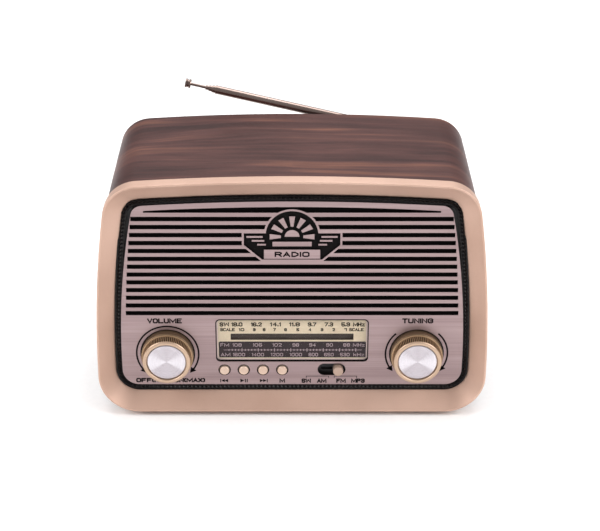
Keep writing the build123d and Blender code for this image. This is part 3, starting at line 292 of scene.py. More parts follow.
def cloth_material():
    """Open-weave black cloth: crossed threads in colour and surface."""
    shader = Shader("grille_weave", Roughness=0.95, Specular_IOR_Level=0.1)
    threads = []
    for axis in ("X", "Z"):
        wave = shader.node("ShaderNodeTexWave", bands_direction=axis)
        wave.inputs["Scale"].default_value = 260
        shader.link(shader.coords, wave.inputs["Vector"])
        threads.append(wave.outputs["Fac"])
    weave = shader.math("MULTIPLY", *threads)
    shader.colour(shader.ramp(weave, ((0.1, srgb(3, 2, 2)), (0.9, srgb(16, 11, 12)))))
    shader.bump(weave, 0.0001)
    return shader.material


def clear_material():
    """Clear acrylic over the dial, with faint polishing haze."""
    shader = Shader("dial_acrylic", Transmission_Weight=1.0, IOR=1.15, Alpha=0.12)
    haze = shader.noise(400.0, detail=2)
    shader.colour(shader.ramp(haze, ((0.3, (0.98, 0.98, 0.98)), (0.7, (1, 1, 1)))))
    shader.roughness(shader.range(haze, 0.02, 0.06))
    return shader.material


WOOD = wood_material()
BEZEL = lacquer_material("champagne_lacquer", srgb(212, 178, 160), srgb(192, 158, 140), 0.5, (0.4, 0.5))
PANEL = brushed_material("brushed_mauve", srgb(167, 146, 146), srgb(147, 126, 127), 0)
TRIM = plastic_material("rope_black", srgb(14, 8, 9), srgb(7, 4, 5), (0.16, 0.26), Specular_IOR_Level=0.22)
CLOTH = cloth_material()
CLEAR = clear_material()
BRONZE = lacquer_material("knob_bronze", srgb(196, 164, 130), srgb(152, 122, 92), 0.6, (0.3, 0.42))
SKIRT = lacquer_material("knob_skirt", srgb(150, 126, 100), srgb(104, 84, 64), 0.8, (0.3, 0.45))
BUTTON = lacquer_material("button_cream", srgb(222, 196, 178), srgb(204, 176, 156), 0.45, (0.28, 0.4))
CHROME = lacquer_material("antenna_chrome", srgb(168, 150, 142), srgb(128, 110, 102), 1.0, (0.16, 0.26))
STEEL = brushed_material("zinc_steel", srgb(190, 190, 192), srgb(140, 140, 144), 0, 0.95, (0.3, 0.45))
BRASS = lacquer_material("turned_brass", srgb(214, 176, 96), srgb(176, 138, 66), 1.0, (0.24, 0.36))
BLACK = plastic_material("moulded_black", srgb(44, 42, 43), srgb(26, 24, 25))
GREY = plastic_material("moulded_grey", srgb(120, 118, 116), srgb(92, 90, 90))
RUBBER = plastic_material("foot_rubber", srgb(36, 34, 34), srgb(18, 17, 17), (0.75, 0.9), 900.0, 0.00006)
GREEN = plastic_material("solder_mask", srgb(30, 96, 56), srgb(18, 66, 38), (0.25, 0.35))
PAPER = plastic_material("cone_paper", srgb(52, 50, 50), srgb(28, 27, 27), (0.85, 0.98), 700.0, 0.0002)
FERRITE = plastic_material("sintered_ferrite", srgb(74, 74, 78), srgb(44, 44, 48), (0.5, 0.7))
COPPER = lacquer_material("enamelled_copper", srgb(206, 118, 70), srgb(160, 84, 48), 1.0, (0.25, 0.4))
CORD = plastic_material("braided_cord", srgb(190, 166, 126), srgb(150, 126, 90), (0.8, 0.95), 3000.0)
SLEEVE = plastic_material("battery_sleeve", srgb(46, 92, 168), srgb(30, 66, 132), (0.25, 0.35))
RED = plastic_material("pointer_red", srgb(214, 44, 30), srgb(178, 26, 18), (0.3, 0.4))
CREAM = plastic_material("dial_cream", srgb(222, 206, 180), srgb(210, 192, 164), (0.5, 0.6), 900.0, 0.00001)
MAROON = plastic_material("dial_maroon", srgb(38, 18, 24), srgb(26, 10, 16), (0.5, 0.6), 900.0, 0.00001)
BADGE = plastic_material("badge_black", srgb(10, 6, 7), srgb(5, 3, 3), (0.6, 0.8), Specular_IOR_Level=0.12)
SLOT_FLOOR = plastic_material("slot_floor", srgb(86, 76, 70), srgb(66, 58, 54), (0.6, 0.8))
GROOVE_SHADE = lacquer_material("knob_groove_shade", srgb(58, 42, 28), srgb(34, 23, 15), 0.5, (0.5, 0.65))
PEG = lacquer_material("peg_cream", srgb(186, 160, 144), srgb(170, 144, 128), 0.3, (0.35, 0.45))
RIM = lacquer_material("knob_rim", srgb(202, 174, 150), srgb(178, 150, 126), 0.5, (0.26, 0.36))
# Black print, and painted shadow in the gaps round the dial window and the buttons.
INK_AND_SHADE = plastic_material("black_ink_and_shade", srgb(16, 9, 11), srgb(8, 4, 5), (0.6, 0.75), Specular_IOR_Level=0.1)
PALE_INK = plastic_material("pale_ink", srgb(186, 164, 168), srgb(160, 138, 142), (0.5, 0.7))
EDGE = plastic_material("window_edge", srgb(226, 204, 198), srgb(206, 184, 178), (0.4, 0.5))

NODE_MATERIALS = {
    WOOD: ("cabinet_shell",),
    BEZEL: ("front_bezel",),
    PANEL: ("front_panel",),
    CLOTH: ("grille_cloth",),
    CLEAR: ("dial_lens",),
    CREAM: ("dial_plate",),
    RED: ("dial_pointer",),
    BUTTON: ("button_previous", "button_play", "button_next", "button_mode"),
    PEG: ("mode_slider",),
    CHROME: (
        "antenna_knuckle", "antenna_elbow", "antenna_rod",
        "antenna_tube_1", "antenna_tube_2", "antenna_tube_3", "antenna_tube_4",
    ),
    STEEL: (
        "guide_rod", "tuning_shaft", "volume_shaft", "shaft_nuts", "volume_potentiometer", "mode_switch_body",
        "speaker_basket", "rear_screws", "usb_socket", "card_socket", "antenna_screw", "elbow_pin",
    ),
    BRASS: ("tuning_bushing", "board_standoffs"),
    BLACK: ("inner_baffle", "rear_cover", "battery_door", "aux_jack", "power_jack"),
    BADGE: ("badge",),
    GREY: ("pointer_carriage", "idler_pulley", "tuning_drum", "tuning_capacitor"),
    RUBBER: ("feet", "speaker_surround"),
    GREEN: ("main_board", "button_board", "jack_board"),
    PAPER: ("speaker_cone",),
    FERRITE: ("speaker_magnet", "ferrite_rod"),
    COPPER: ("ferrite_coil",),
    CORD: ("dial_cord",),
    SLEEVE: ("battery_cell",),
}


def dress(node, material):
    """Gives a CAD node its material, rounds its shading and keeps its hard edges."""
    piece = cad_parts[node]
    piece.data.materials.clear()
    piece.data.materials.append(material)
    for face in piece.data.polygons:
        face.material_index = 0
        face.use_smooth = True
    weld = piece.modifiers.new("weld", "WELD")
    weld.merge_threshold = 1e-6
    split = piece.modifiers.new("hard_edges", "EDGE_SPLIT")
    split.split_angle = math.radians(28)


for material, node_names in NODE_MATERIALS.items():
    for node_name in node_names:
        dress(node_name, material)

# Painted shade: the sides of the panel's openings are black, so the openings read as dark recesses
slot_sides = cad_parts["front_panel"]
slot_sides.data.materials.append(BADGE)
for face in slot_sides.data.polygons:
    if abs(face.normal.y) < 0.5:
        face.material_index = 1


# ======================================================================== mesh helpers


def piece_from(name, mesh, material, body, replaces=(), sharp=30):
    """Makes an object of a bmesh or mesh and puts it on a CAD body."""
    if isinstance(mesh, bmesh.types.BMesh):
        bmesh.ops.recalc_face_normals(mesh, faces=mesh.faces)
        data = bpy.data.meshes.new(name)
        mesh.to_mesh(data)
        mesh.free()
    else:
        data = mesh
    data.materials.clear()
    data.materials.append(material)
    for face in data.polygons:
        face.use_smooth = True
    piece = bpy.data.objects.new(name, data)
    bpy.context.scene.collection.objects.link(piece)
    split = piece.modifiers.new("hard_edges", "EDGE_SPLIT")
    split.split_angle = math.radians(sharp)
    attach(piece, body)
    if replaces:
        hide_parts(*replaces)
    return piece


def turned(profile, axis_spot, segments=192, radius_at=None):
    """Surface turned about an axis along Y. The profile is (radius, depth) in mm, the spot is in metres."""
    mesh = bmesh.new()
    rings = []
    for index, (radius, depth) in enumerate(profile):
        if radius == 0:
            rings.append([mesh.verts.new((axis_spot.x, FRONT_Y + depth * MM, axis_spot.z))])
            continue
        ring = []
        for step in range(segments):
            angle = 2 * math.pi * step / segments
            reach = (radius_at(index, radius, step) if radius_at else radius) * MM
            ring.append(
                mesh.verts.new(
                    (
                        axis_spot.x + reach * math.cos(angle),
                        FRONT_Y + depth * MM,
                        axis_spot.z + reach * math.sin(angle),
                    )
                )
            )
        rings.append(ring)
    for first, second in zip(rings, rings[1:]):
        for step in range(segments):
            after = (step + 1) % segments
            corners = [first[step % len(first)], first[after % len(first)]]
            corners += [second[after % len(second)], second[step % len(second)]]
            unique = list(dict.fromkeys(corners))
            if len(unique) > 2:
                mesh.faces.new(unique)
    return mesh


def add_prism(mesh, points, depth, thickness):
    """Adds a flat polygon of (x, height) points in mm, standing forward from a depth."""
    front = [mesh.verts.new(spot(x, depth - thickness, height)) for x, height in points]
    back = [mesh.verts.new(spot(x, depth, height)) for x, height in points]
    mesh.faces.new(front)
    mesh.faces.new(list(reversed(back)))
    for index in range(len(points)):
        after = (index + 1) % len(points)
        mesh.faces.new((front[index], back[index], back[after], front[after]))


def add_bar(mesh, centre, size, depth, thickness):
    x, height = centre
    half_width, half_height = size[0] / 2, size[1] / 2
    corners = ((-1, -1), (1, -1), (1, 1), (-1, 1))
    add_prism(
        mesh, [(x + sx * half_width, height + sy * half_height) for sx, sy in corners], depth, thickness
    )


def add_band(mesh, centre, radii, angles, depth, thickness, steps=48):
    """Adds part of a flat ring between two radii, from one angle to another in degrees."""
    inner, outer = radii
    turns = [math.radians(angles[0] + (angles[1] - angles[0]) * step / steps) for step in range(steps + 1)]
    for first, second in zip(turns, turns[1:]):
        corners = ((inner, first), (outer, first), (outer, second), (inner, second))
        add_prism(
            mesh,
            [(centre[0] + r * math.cos(a), centre[1] + r * math.sin(a)) for r, a in corners],
            depth,
            thickness,
        )


# Stroke letters on a grid 4 wide and 6 tall: each point is its two grid digits
GLYPHS = {
    "0": "10 30 41 45 36 16 05 01 10", "1": "15 26 20", "2": "05 16 36 45 44 00 40",
    "3": "05 16 36 45 44 33 42 41 30 10 01|13 33", "4": "30 36 02 42", "5": "46 06 03 33 42 41 30 10 01",
    "6": "45 36 16 05 01 10 30 41 42 33 03", "7": "06 46 10", "8": "13 04 05 16 36 45 44 33 42 41 30 10 01 02 13 33",
    "9": "01 10 30 41 45 36 16 05 04 13 43", "A": "00 26 40|12 32", "C": "41 30 10 01 05 16 36 45",
    "D": "00 06 26 44 42 20 00", "E": "40 00 06 46|03 33", "F": "00 06 46|03 33",
    "G": "45 36 16 05 01 10 30 41 43 23", "H": "00 06|40 46|03 43", "I": "20 26", "L": "06 00 40",
    "M": "00 06 31 66 60", "N": "00 06 40 46", "O": "10 30 41 45 36 16 05 01 10", "P": "00 06 36 45 44 33 03",
    "R": "00 06 36 45 44 33 03|23 40", "S": "01 10 30 41 42 33 13 04 05 16 36 45", "T": "20 26|06 46",
    "U": "06 01 10 30 41 46", "V": "06 20 46", "W": "06 10 35 60 66", "X": "00 46|06 40",
    "B": "00 06 36 45 44 33 42 41 30 00|03 33", "k": "00 06|44 02|13 40", "z": "04 44 00 40",
    "(": "36 25 21 30", ")": "16 25 21 10", ".": "20 21", " ": "",
}
GLYPH_GAP = 1.7


def add_ribbon(mesh, points, stroke, depth, thickness):
    """Adds a flat line of constant width through points in mm. It closes where its last point is its first."""
    closed = points[0] == points[-1]
    path = [Vector(point) for point in (points[:-1] if closed else points)]
    count = len(path)
    rings = []
    for index, point in enumerate(path):
        headings = []
        if closed or index > 0:
            headings.append((point - path[index - 1]).normalized())
        if closed or index < count - 1:
            headings.append((path[(index + 1) % count] - point).normalized())
        along = sum(headings, Vector((0, 0))).normalized()
        across = Vector((-along.y, along.x))
        mitre = max(across.dot(Vector((-headings[0].y, headings[0].x))), 0.6)
        reach = across * stroke / 2 / mitre
        if not closed and index == 0:
            point = point - along * stroke * 0.4
        if not closed and index == count - 1:
            point = point + along * stroke * 0.4
        left, right = point + reach, point - reach
        rings.append(
            [
                mesh.verts.new(spot(left.x, depth - thickness, left.y)),
                mesh.verts.new(spot(right.x, depth - thickness, right.y)),
                mesh.verts.new(spot(right.x, depth, right.y)),
                mesh.verts.new(spot(left.x, depth, left.y)),
            ]
        )
    pairs = list(zip(rings, rings[1:]))
    if closed:
        pairs.append((rings[-1], rings[0]))
    for first, second in pairs:
        for corner in range(4):
            after = (corner + 1) % 4
            mesh.faces.new((first[corner], first[after], second[after], second[corner]))
    if not closed:
        mesh.faces.new(rings[0])
        mesh.faces.new(rings[-1])


def lettering(mesh, words, centre, size, depth, stroke=0.42, thickness=0.04, side=1):
    """Adds stroke lettering of a width and height in mm. A side of -1 is read from behind."""
    lines = []
    pen = 0.0
    for letter in words:
        if letter == " ":
            pen += 3
            continue
        strokes = [[(int(pair[0]), int(pair[1])) for pair in line.split()] for line in GLYPHS[letter].split("|")]
        columns = [x for line in strokes for x, _ in line]
        lines += [[(pen + x - min(columns), y) for x, y in line] for line in strokes]
        pen += max(columns) - min(columns) + GLYPH_GAP
    scale_x = (size[0] - stroke) / (pen - GLYPH_GAP)
    scale_y = (size[1] - stroke) / 6
    middle = (pen - GLYPH_GAP) / 2
    for line in lines:
        points = [(centre[0] + side * (x - middle) * scale_x, centre[1] + (y - 3) * scale_y) for x, y in line]
        add_ribbon(mesh, points, stroke, depth, thickness)


def arc_points(centre, radius, start, end, steps=48):
    """Points along an arc, from one angle to another in degrees."""
    turns = [math.radians(start + (end - start) * step / steps) for step in range(steps + 1)]
    return [(centre[0] + radius * math.cos(turn), centre[1] + radius * math.sin(turn)) for turn in turns]


# ======================================================================== rope trim ring


def outline(side_inset, end_inset, spacing):
    """Points of the front's rounded trapezoid, evenly spaced, anticlockwise from the bottom middle, in mm."""
    bottom_corner = BOTTOM_CORNER - side_inset
    top_corner = TOP_CORNER - side_inset
    side_centre = Vector((HALF_WIDTH - side_inset - SIDE_RADIUS, WIDEST_HEIGHT))
    crown_centre = Vector((0, HEIGHT - end_inset - CROWN_RADIUS))
    low_z = end_inset + bottom_corner
    reach = SIDE_RADIUS - bottom_corner
    low_x = side_centre.x + math.sqrt(reach**2 - (low_z - side_centre.y) ** 2)
    low = Vector((low_x, low_z))
    between = crown_centre - side_centre
    first, second = SIDE_RADIUS - top_corner, CROWN_RADIUS - top_corner
    along = (first**2 - second**2 + between.length_squared) / (2 * between.length)
    across = math.sqrt(first**2 - along**2)
    unit = between.normalized()
    high = side_centre + unit * along + Vector((-unit.y, unit.x)) * across

    def arc(centre, radius, start, end):
        count = max(int(abs(end - start) * radius / 0.2), 2)
        turns = [start + (end - start) * step / count for step in range(count)]
        return [Vector((centre.x + radius * math.cos(a), centre.y + radius * math.sin(a))) for a in turns]

    def heading(centre, point):
        return math.atan2(point.y - centre.y, point.x - centre.x)

    count = int(low.x / 0.2)
    right = [Vector((low.x * step / count, end_inset)) for step in range(count)]
    right += arc(low, bottom_corner, -math.pi / 2, heading(side_centre, low))
    right += arc(side_centre, SIDE_RADIUS, heading(side_centre, low), heading(side_centre, high))
    right += arc(high, top_corner, heading(side_centre, high), heading(crown_centre, high))
    right += arc(crown_centre, CROWN_RADIUS, heading(crown_centre, high), math.pi / 2)
    right.append(Vector((0, HEIGHT - end_inset)))
    loop = right + [Vector((-point.x, point.y)) for point in reversed(right[1:-1])]
    lengths = [0.0]
    for first_point, second_point in zip(loop, loop[1:] + loop[:1]):
        lengths.append(lengths[-1] + (second_point - first_point).length)
    total = lengths[-1]
    count = round(total / spacing)
    closed = loop + loop[:1]
    points = []
    index = 0
    for step in range(count):
        target = total * step / count
        while lengths[index + 1] < target:
            index += 1
        share = (target - lengths[index]) / (lengths[index + 1] - lengths[index])
        points.append(closed[index].lerp(closed[index + 1], share))
    return points, total


def rope_ring():
    """Black channel with a raised bead in it, cut by two crossing sets of diagonal grooves."""
    middle, total = outline(11.65, 12.75, 0.3)
    count = len(middle)
    repeats = round(total / 2.4)
    half = 1.85
    bead_half = 1.2
    flat = [-half, -bead_half - 0.12]
    across = flat + [bead_half * (step / 8 - 1) for step in range(17)] + [-value for value in reversed(flat)]
    mesh = bmesh.new()
    rows = []
    for index, point in enumerate(middle):
        before, after = middle[index - 1], middle[(index + 1) % count]
        tangent = (after - before).normalized()
        outward = Vector((tangent.y, -tangent.x))
        phase = repeats * index / count
        row = []
        for offset in across:
            share = offset / bead_half
            rise = 0.0
            if abs(share) < 1:
                slant = share * 0.5
                first = abs(math.sin(math.pi * (phase + slant)))
                second = abs(math.sin(math.pi * (phase - slant)))
                rise = 1.15 * math.sqrt(1 - share**2) * (0.1 + 0.9 * min(first, second))
            elif abs(offset) == half:
                rise = 0.35
            place = point + outward * offset
            row.append(mesh.verts.new(spot(place.x, PANEL_DEPTH + 0.6 - rise, place.y)))
        rows.append(row)
    for first, second in zip(rows, rows[1:] + rows[:1]):
        for step in range(len(across) - 1):
            mesh.faces.new((first[step], first[step + 1], second[step + 1], second[step]))
    for side in (0, -1):
        edge = [row[side] for row in rows]
        skirt = [mesh.verts.new((vertex.co.x, spot(0, 9.8, 0).y, vertex.co.z)) for vertex in edge]
        for index in range(count):
            after = (index + 1) % count
            mesh.faces.new((edge[index], edge[after], skirt[after], skirt[index]))
    piece_from("rope_trim", mesh, TRIM, "root", ("trim_ring",), sharp=50)


rope_ring()


# ======================================================================== knobs


KNURL_TEETH = 80


def knob_detail(name):
    """Skirt, bead, knurled band and rounded rim of one knob, turned round its shaft."""
    axis = centre_of(f"{name}_knob")
    skirt = ((3.0, 7.9), (14.7, 7.9), (15.0, 7.6), (15.0, 3.5), (14.9, 3.0), (14.6, 2.75), (14.2, 2.65), (13.4, 2.6))
    piece_from(f"{name}_skirt", turned(skirt, axis), SKIRT, name, (f"{name}_knob",))
    turns = [math.pi * step / 8 for step in range(9)]
    bead = [(13.7 + 0.85 * math.sin(turn), 2.3 - 0.4 * math.cos(turn)) for turn in turns]
    piece_from(f"{name}_bead", turned(bead, axis), BRONZE, name)
    per_tooth = 8
    groove = (0, 0, 0, 0.25, 0.6, 0.7, 0.6, 0.25)
    band = ((13.0, 2.3), (14.2, 2.0), (14.2, 1.6), (14.1, 0), (13.95, -1.6), (13.75, -3.1), (12.9, -3.35))

    def toothed(index, radius, step):
        return radius if index in (0, len(band) - 1) else radius - groove[step % per_tooth]

    mesh = turned(band, axis, KNURL_TEETH * per_tooth, toothed)
    knurl = piece_from(f"{name}_knurl", mesh, BRONZE, name, sharp=25)
    knurl.data.materials.append(GROOVE_SHADE)
    # Painted shade: the knurl's groove faces take a dark bronze, darkening the creases between the ribs.
    for face in knurl.data.polygons:
        offset = face.center - Vector((axis.x, 0, axis.z))
        depth = (face.center.y - FRONT_Y) / MM
        if math.hypot(offset.x, offset.z) / MM < 13.84 + 0.095 * depth and -3 < depth < 1.9:
            face.material_index = 1
    rim = (
        (12.8, -3.0), (13.4, -3.1), (13.6, -3.25), (13.62, -3.45), (13.5, -3.7), (13.2, -3.92), (12.8, -4.06),
        (12.4, -4.13), (11.9, -4.15), (11.6, -4.08), (11.45, -3.9), (11.4, -3.6), (11.4, -1.9), (3.0, -1.9),
    )
    piece_from(f"{name}_rim", turned(rim, axis), RIM, name)
    disc = (
        (11.0, -1.8), (11.0, -3.0), (10.9, -3.25), (10.65, -3.4), (10.3, -3.45), (8.0, -3.3), (5.5, -3.16),
        (3.0, -3.07), (1.2, -3.03), (0, -3.02),
    )
    spun = spun_material(f"spun_{name}", axis.x, axis.z)
    piece_from(f"{name}_disc", turned(disc, axis), spun, name, (f"{name}_knob_cap",))


for knob in ("volume", "tuning"):
    knob_detail(knob)

# ======================================================================== badge relief


def badge_faces():
    """Brushed faces of the badge: a half sun and its rays, stepped wings, a bar and a plain plaque."""
    mesh = bmesh.new()
    depth = PANEL_DEPTH + 0.02
    lift = 0.06
    add_bar(mesh, (0, 98.7), (31.3, 5.6), depth, lift)
    add_bar(mesh, (0, 105), (21.8, 2.8), depth, lift)
    add_band(mesh, (0, 109.5), (0.01, 4.1), (0, 180), depth, lift, 24)
    for ray in range(7):
        angle = math.radians(30 * ray)
        direction = Vector((math.cos(angle), math.sin(angle)))
        normal = Vector((-direction.y, direction.x))
        corners = []
        for reach, half in ((6.2, 0.8), (12.4, 1.65), (12.4, -1.65), (6.2, -0.8)):
            corner = Vector((0, 109.5)) + direction * reach + normal * half
            corners.append((corner.x, corner.y))
        add_prism(mesh, corners, depth, lift)
    for side in (-1, 1):
        for step in range(3):
            add_bar(mesh, (side * (20.8 - 1.9 * step), 109.4 - 2.4 * step), (9.0 - 2.1 * step, 1.05), depth, lift)
    piece_from("badge_relief", mesh, PANEL, "root")
    word = bmesh.new()
    lettering(word, "RADIO", (0, 98.6), (19.5, 3.3), depth - lift, 0.85)
    piece_from("plaque_word", word, INK_AND_SHADE, "root")


badge_faces()

# ======================================================================== dial


def rounded_rectangle(centre, size, radius, steps=8):
    """Corner points of a rounded rectangle, in mm."""
    points = []
    for turn, (sx, sy) in enumerate(((1, 1), (-1, 1), (-1, -1), (1, -1))):
        corner = (centre[0] + sx * (size[0] / 2 - radius), centre[1] + sy * (size[1] / 2 - radius))
        for step in range(steps + 1):
            angle = math.pi / 2 * (turn + step / steps)
            points.append((corner[0] + radius * math.cos(angle), corner[1] + radius * math.sin(angle)))
    return points


def add_frame(mesh, outer, inner, depth, thickness):
    """Adds a flat frame between two loops with the same number of points."""
    count = len(outer)
    for index in range(count):
        after = (index + 1) % count
        add_prism(mesh, [outer[index], outer[after], inner[after], inner[index]], depth, thickness)


def dial_print():
    """The printed dial: a maroon strip with two bands, two cream rows, the window's pale edge and a painted shadow
    in the gap round the window.
    """
    ink_depth = PANEL_BACK - 0.02
    strip = bmesh.new()
    add_prism(strip, rounded_rectangle((0.2, 36.9), (84.6, 10.5), 0.9), PANEL_BACK, 0.04)
    piece_from("dial_strip", strip, MAROON, "root")
    dark = bmesh.new()
    for words, x, width in (
        ("SW", -38.7, 5.4), ("18.0", -31.5, 6.4), ("16.2", -20.4, 6.3), ("14.1", -9.5, 6.2), ("11.8", 1.4, 6.2),
        ("9.7", 11.4, 5.0), ("7.3", 21.0, 5.0), ("5.9", 30.6, 5.0), ("MHz", 38.2, 6.8),
    ):
        lettering(dark, words, (x, 53.3), (width, 2.6), ink_depth, 0.58)
    for x in (-36.9, 36.8):
        lettering(dark, "SCALE", (x, 49.9), (8.4, 2.0), ink_depth, 0.44)
    for number, x in zip(range(10, 0, -1), (-28.9, -21.6, -16, -10, -3.7, 3.3, 10.2, 17.1, 23.8, 30.5)):
        lettering(dark, str(number), (x, 49.9), (1.6 if number < 10 else 3.2, 2.0), ink_depth, 0.48)
    piece_from("dial_dark_print", dark, INK_AND_SHADE, "root")
    pale = bmesh.new()
    pale_depth = PANEL_BACK - 0.05
    fm_row = (("FM", -38.7, 5.0), ("108", -31.6, 5.3), ("106", -19.9, 5.3), ("102", -8.6, 5.3), ("98", 2.1, 3.8),
              ("94", 11.7, 3.8), ("90", 21.5, 3.8), ("88", 31.3, 3.8), ("MHz", 38.4, 6.8))
    am_row = (("AM", -38.3, 5.4), ("1600", -30.6, 7.0), ("1400", -19.7, 7.0), ("1200", -8.7, 7.0),
              ("1000", 2.2, 7.0), ("800", 12.2, 5.4), ("650", 21.2, 5.4), ("530", 30.4, 5.4), ("kHz", 38.5, 6.4))
    for row, height in ((fm_row, 39.9), (am_row, 33.5)):
        for words, x, width in row:
            lettering(pale, words, (x, height), (width, 2.15), pale_depth, 0.3)
    add_bar(pale, (0.4, 36.6), (79.5, 0.22), pale_depth, 0.03)
    for tick in range(40):
        tall = 2.0 if tick % 5 == 4 else 1.15
        add_bar(pale, (-36.3 + 1.87 * tick, 36.6), (0.42, tall), pale_depth, 0.03)
    piece_from("dial_pale_print", pale, PALE_INK, "root")
    edge = bmesh.new()
    middle = (0, 43.55)
    add_frame(
        edge, rounded_rectangle(middle, (86.6, 26.7), 2.2), rounded_rectangle(middle, (84.9, 25.0), 1.5),
        PANEL_BACK, 0.05,
    )
    piece_from("window_edge", edge, EDGE, "root")
    # Painted shadow: a thin black frame in the gap round the dial window.
    window_shadow = bmesh.new()
    add_frame(
        window_shadow, rounded_rectangle(middle, (87.5, 27.7), 2.6), rounded_rectangle(middle, (86.3, 26.5), 2.1),
        PANEL_DEPTH + 0.1, 0.16,
    )
    piece_from("window_gap_shadow", window_shadow, INK_AND_SHADE, "root")
    shade = bmesh.new()
    add_bar(shade, (0, 45.2), (84, 8.4), 10.35, 0.1)
    piece_from("pointer_backdrop", shade, SLOT_FLOOR, "root")


dial_print()

# ======================================================================== panel legends


def add_arrow(mesh, tip, heading, size, depth, thickness):
    """Adds a triangular arrowhead whose tip points along a heading in degrees."""
    direction = Vector((math.cos(math.radians(heading)), math.sin(math.radians(heading))))
    normal = Vector((-direction.y, direction.x))
    tip = Vector(tip)
    corners = [tip, tip - direction * size + normal * size * 0.55, tip - direction * size - normal * size * 0.55]
    add_prism(mesh, [(corner.x, corner.y) for corner in corners], depth, thickness)


def panel_legends():
    """Black print on the panel: knob arcs, words, transport symbols and the switch's scale."""
    ink = bmesh.new()
    depth = PANEL_DEPTH
    lift = 0.04
    knob_x, knob_height = 71.5, 35.0
    reach = 17.8
    add_ribbon(ink, arc_points((-knob_x, knob_height), reach, -40, 220, 96), 1.0, depth, lift)
    for start, end in ((-36, 46), (134, 216)):
        add_ribbon(ink, arc_points((knob_x, knob_height), reach, start, end), 1.0, depth, lift)
    for centre_x, angle in ((-knob_x, 46), (knob_x, 41)):
        for side in (-1, 1):
            turn = math.radians(-angle if side == 1 else 180 + angle)
            tip = (centre_x + reach * math.cos(turn), knob_height + reach * math.sin(turn))
            add_arrow(ink, tip, -angle - 84 if side == 1 else 264 + angle, 3.6, depth, lift)
    for words, x, height, width in (
        ("VOLUME", -72.6, 56.4, 19.8), ("TUNING", knob_x, 56.4, 17.8), ("OFF(MIN)", -80.4, 17.3, 20.0),
        ("ON(MAX)", -59.4, 17.3, 18.0),
    ):
        lettering(ink, words, (x, height), (width, 3.3 if height > 50 else 3.0), depth, 0.85)
    row = 17.0
    for x in (-39.0, -16.8):
        way = -1 if x < -30 else 1
        for shift in (0.1, 2.0):
            add_arrow(ink, (x + way * shift, row), 0 if way == 1 else 180, 2.0, depth, lift)
        add_bar(ink, (x + way * 2.4, row), (0.5, 2.3), depth, lift)
    add_arrow(ink, (-27.7, row), 0, 2.3, depth, lift)
    for shift in (0.6, 1.7):
        add_bar(ink, (-27.7 + shift, row), (0.55, 2.3), depth, lift)
    lettering(ink, "M", (-5.7, row), (3.3, 2.9), depth, 0.75)
    for words, x, width in (("SW", 8.2, 5.6), ("AM", 17.2, 5.6), ("FM", 28.4, 5.6), ("MP3", 38.2, 8.0)):
        lettering(ink, words, (x, 16.9), (width, 2.9), depth, 0.8)
    for side in (-1, 1):
        corner = (22.8 + side * 14.6, 20.0)
        add_ribbon(
            ink, [(corner[0], 18.9), corner, (22.8 + side * 1.6, 20.0), (22.8 + side * 1.6, 19.0)], 0.34, depth, lift
        )
    piece_from("panel_print", ink, INK_AND_SHADE, "root")
    # Painted shadow: dark rings in the gaps round the buttons.
    button_shadows = bmesh.new()
    for name in ("previous", "play", "next", "mode"):
        x = centre_of(f"button_{name}").x / MM
        add_ribbon(button_shadows, arc_points((x, 24.2), 3.25, 0, 360, 32), 0.5, PANEL_DEPTH + 0.9, 0.3)
    piece_from("button_gap_shadows", button_shadows, INK_AND_SHADE, "root")


panel_legends()

# ======================================================================== rear legends


def rear_legends():
    """Pale names beside the sockets on the rear cover."""
    ink = bmesh.new()
    for words, x, width in (("USB", 38, 6), ("CARD", 55, 8), ("AUX", 71, 6.5), ("DC 5V", 85.5, 9)):
        lettering(ink, words, (x, 37), (width, 2.4), 103.06, 0.4, side=-1)
    piece_from("rear_print", ink, PALE_INK, "root")


rear_legends()

# ======================================================================== antenna

ANTENNA_LEAN = math.radians(13.4)
ANTENNA_DIRECTION = Vector((-math.cos(ANTENNA_LEAN), 0, math.sin(ANTENNA_LEAN)))


def turned_along(profile, start, segments=48):
    """Surface turned about the antenna. The profile is (radius, distance from start) in mm."""
    frame_turn = ANTENNA_DIRECTION.to_track_quat("Z", "Y").to_matrix()
    mesh = bmesh.new()
    rings = []
    for radius, reach in profile:
        count = 1 if radius == 0 else segments
        ring = []
        for step in range(count):
            angle = 2 * math.pi * step / segments
            local = Vector((radius * math.cos(angle), radius * math.sin(angle), reach)) * MM
            ring.append(mesh.verts.new(start + frame_turn @ local))
        rings.append(ring)
    for first, second in zip(rings, rings[1:]):
        for step in range(segments):
            after = (step + 1) % segments
            corners = [first[step % len(first)], first[after % len(first)]]
            corners += [second[after % len(second)], second[step % len(second)]]
            unique = list(dict.fromkeys(corners))
            if len(unique) > 2:
                mesh.faces.new(unique)
    return mesh


def antenna_detail():
    """Rolled lips on the tubes and the spool-shaped cap on the rod."""
    tip_centre = centre_of("antenna_tip")
    cap = (
        (0, -1.8), (2.2, -1.8), (2.6, -1.65), (2.8, -1.3), (2.8, -0.9), (2.55, -0.65), (2.35, -0.5),
        (2.35, 0.4), (2.5, 0.55), (2.75, 0.8), (2.8, 1.1), (2.7, 1.5), (2.35, 1.75), (1.2, 1.8), (0, 1.8),
    )
    piece_from("antenna_cap", turned_along(cap, tip_centre), CHROME, "section_5", ("antenna_tip",))
    swivel = spot(70, 110, 130.1)
    for number, (radius, end, body) in enumerate(
        ((2.6, 119, "antenna_fold"), (2.2, 121, "section_2"), (1.8, 123, "section_3"), (1.4, 125, "section_4")),
        start=1,
    ):
        lip = [(radius - 0.37, end - 0.02), (radius - 0.3, end + 0.03), (radius - 0.1, end + 0.04),
               (radius + 0.02, end - 0.08), (radius + 0.03, end - 0.5), (radius + 0.005, end - 0.8)]
        piece_from(f"tube_lip_{number}", turned_along(lip, swivel), CHROME, body)


antenna_detail()

# ======================================================================== floor, light and camera


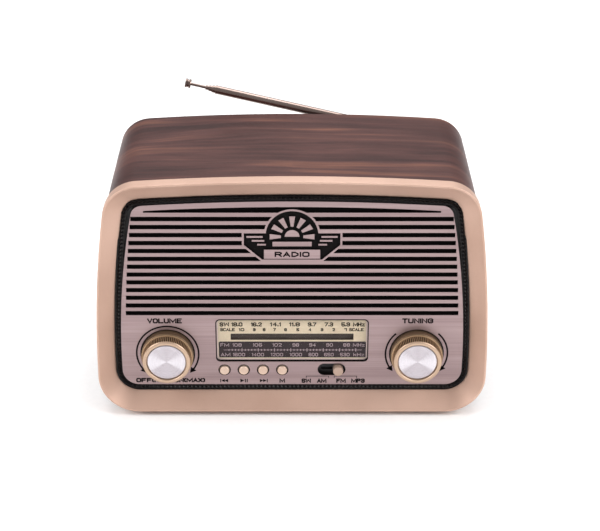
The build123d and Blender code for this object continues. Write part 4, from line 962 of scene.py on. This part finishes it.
FLOOR_SIZE = 6
WORLD_STRENGTH = 0.36
LIGHT_TARGET = Vector((0, 0, 0.07))
LIGHTS = (  # name, place, size in metres and power in watts
    ("left", (-0.95, -0.35, 0.75), 0.8, 10.5),
    ("right", (0.95, -0.4, 0.75), 0.8, 12),
    ("above", (0.0, 0.6, 1.5), 1.4, 19.5),
)
CAMERA_LENS = 96.55
CAMERA_SHIFT = 0.0132
CAMERA_DROP = math.radians(26.65)  # the camera looks down by this much
CAMERA_PLACE = spot(0, -797.5, 495.3)


def studio():
    """Pale floor, dim even world and three soft lights."""
    floor_mesh = bmesh.new()
    bmesh.ops.create_grid(floor_mesh, x_segments=2, y_segments=2, size=FLOOR_SIZE)
    data = bpy.data.meshes.new("floor")
    floor_mesh.to_mesh(data)
    floor_mesh.free()
    floor = bpy.data.objects.new("floor", data)
    bpy.context.scene.collection.objects.link(floor)
    shader = Shader("pale_floor", Roughness=0.9)
    speckle = shader.noise(300.0)
    shader.colour(shader.ramp(speckle, ((0.3, (0.93, 0.93, 0.93)), (0.7, (0.96, 0.96, 0.96)))))
    floor.data.materials.append(shader.material)
    world = bpy.data.worlds.new("studio")
    world.use_nodes = True
    world.node_tree.nodes["Background"].inputs["Color"].default_value = (1, 0.98, 0.99, 1)
    world.node_tree.nodes["Background"].inputs["Strength"].default_value = WORLD_STRENGTH
    bpy.context.scene.world = world
    bpy.context.scene.view_settings.view_transform = "Standard"
    for name, place, size, power in LIGHTS:
        light = bpy.data.lights.new(name, "AREA")
        light.size = size
        light.energy = power
        lamp = bpy.data.objects.new(name, light)
        lamp.location = place
        lamp.rotation_euler = (LIGHT_TARGET - Vector(place)).to_track_quat("-Z", "Y").to_euler()
        bpy.context.scene.collection.objects.link(lamp)


def camera():
    """Camera above and in front of the radio."""
    view = bpy.data.cameras.new("camera")
    view.sensor_width = 36
    view.lens = CAMERA_LENS
    view.shift_x = CAMERA_SHIFT
    holder = bpy.data.objects.new("camera", view)
    holder.location = CAMERA_PLACE
    holder.rotation_euler = (math.radians(90) - CAMERA_DROP, 0, 0)
    bpy.context.scene.collection.objects.link(holder)
    bpy.context.scene.camera = holder


studio()
camera()
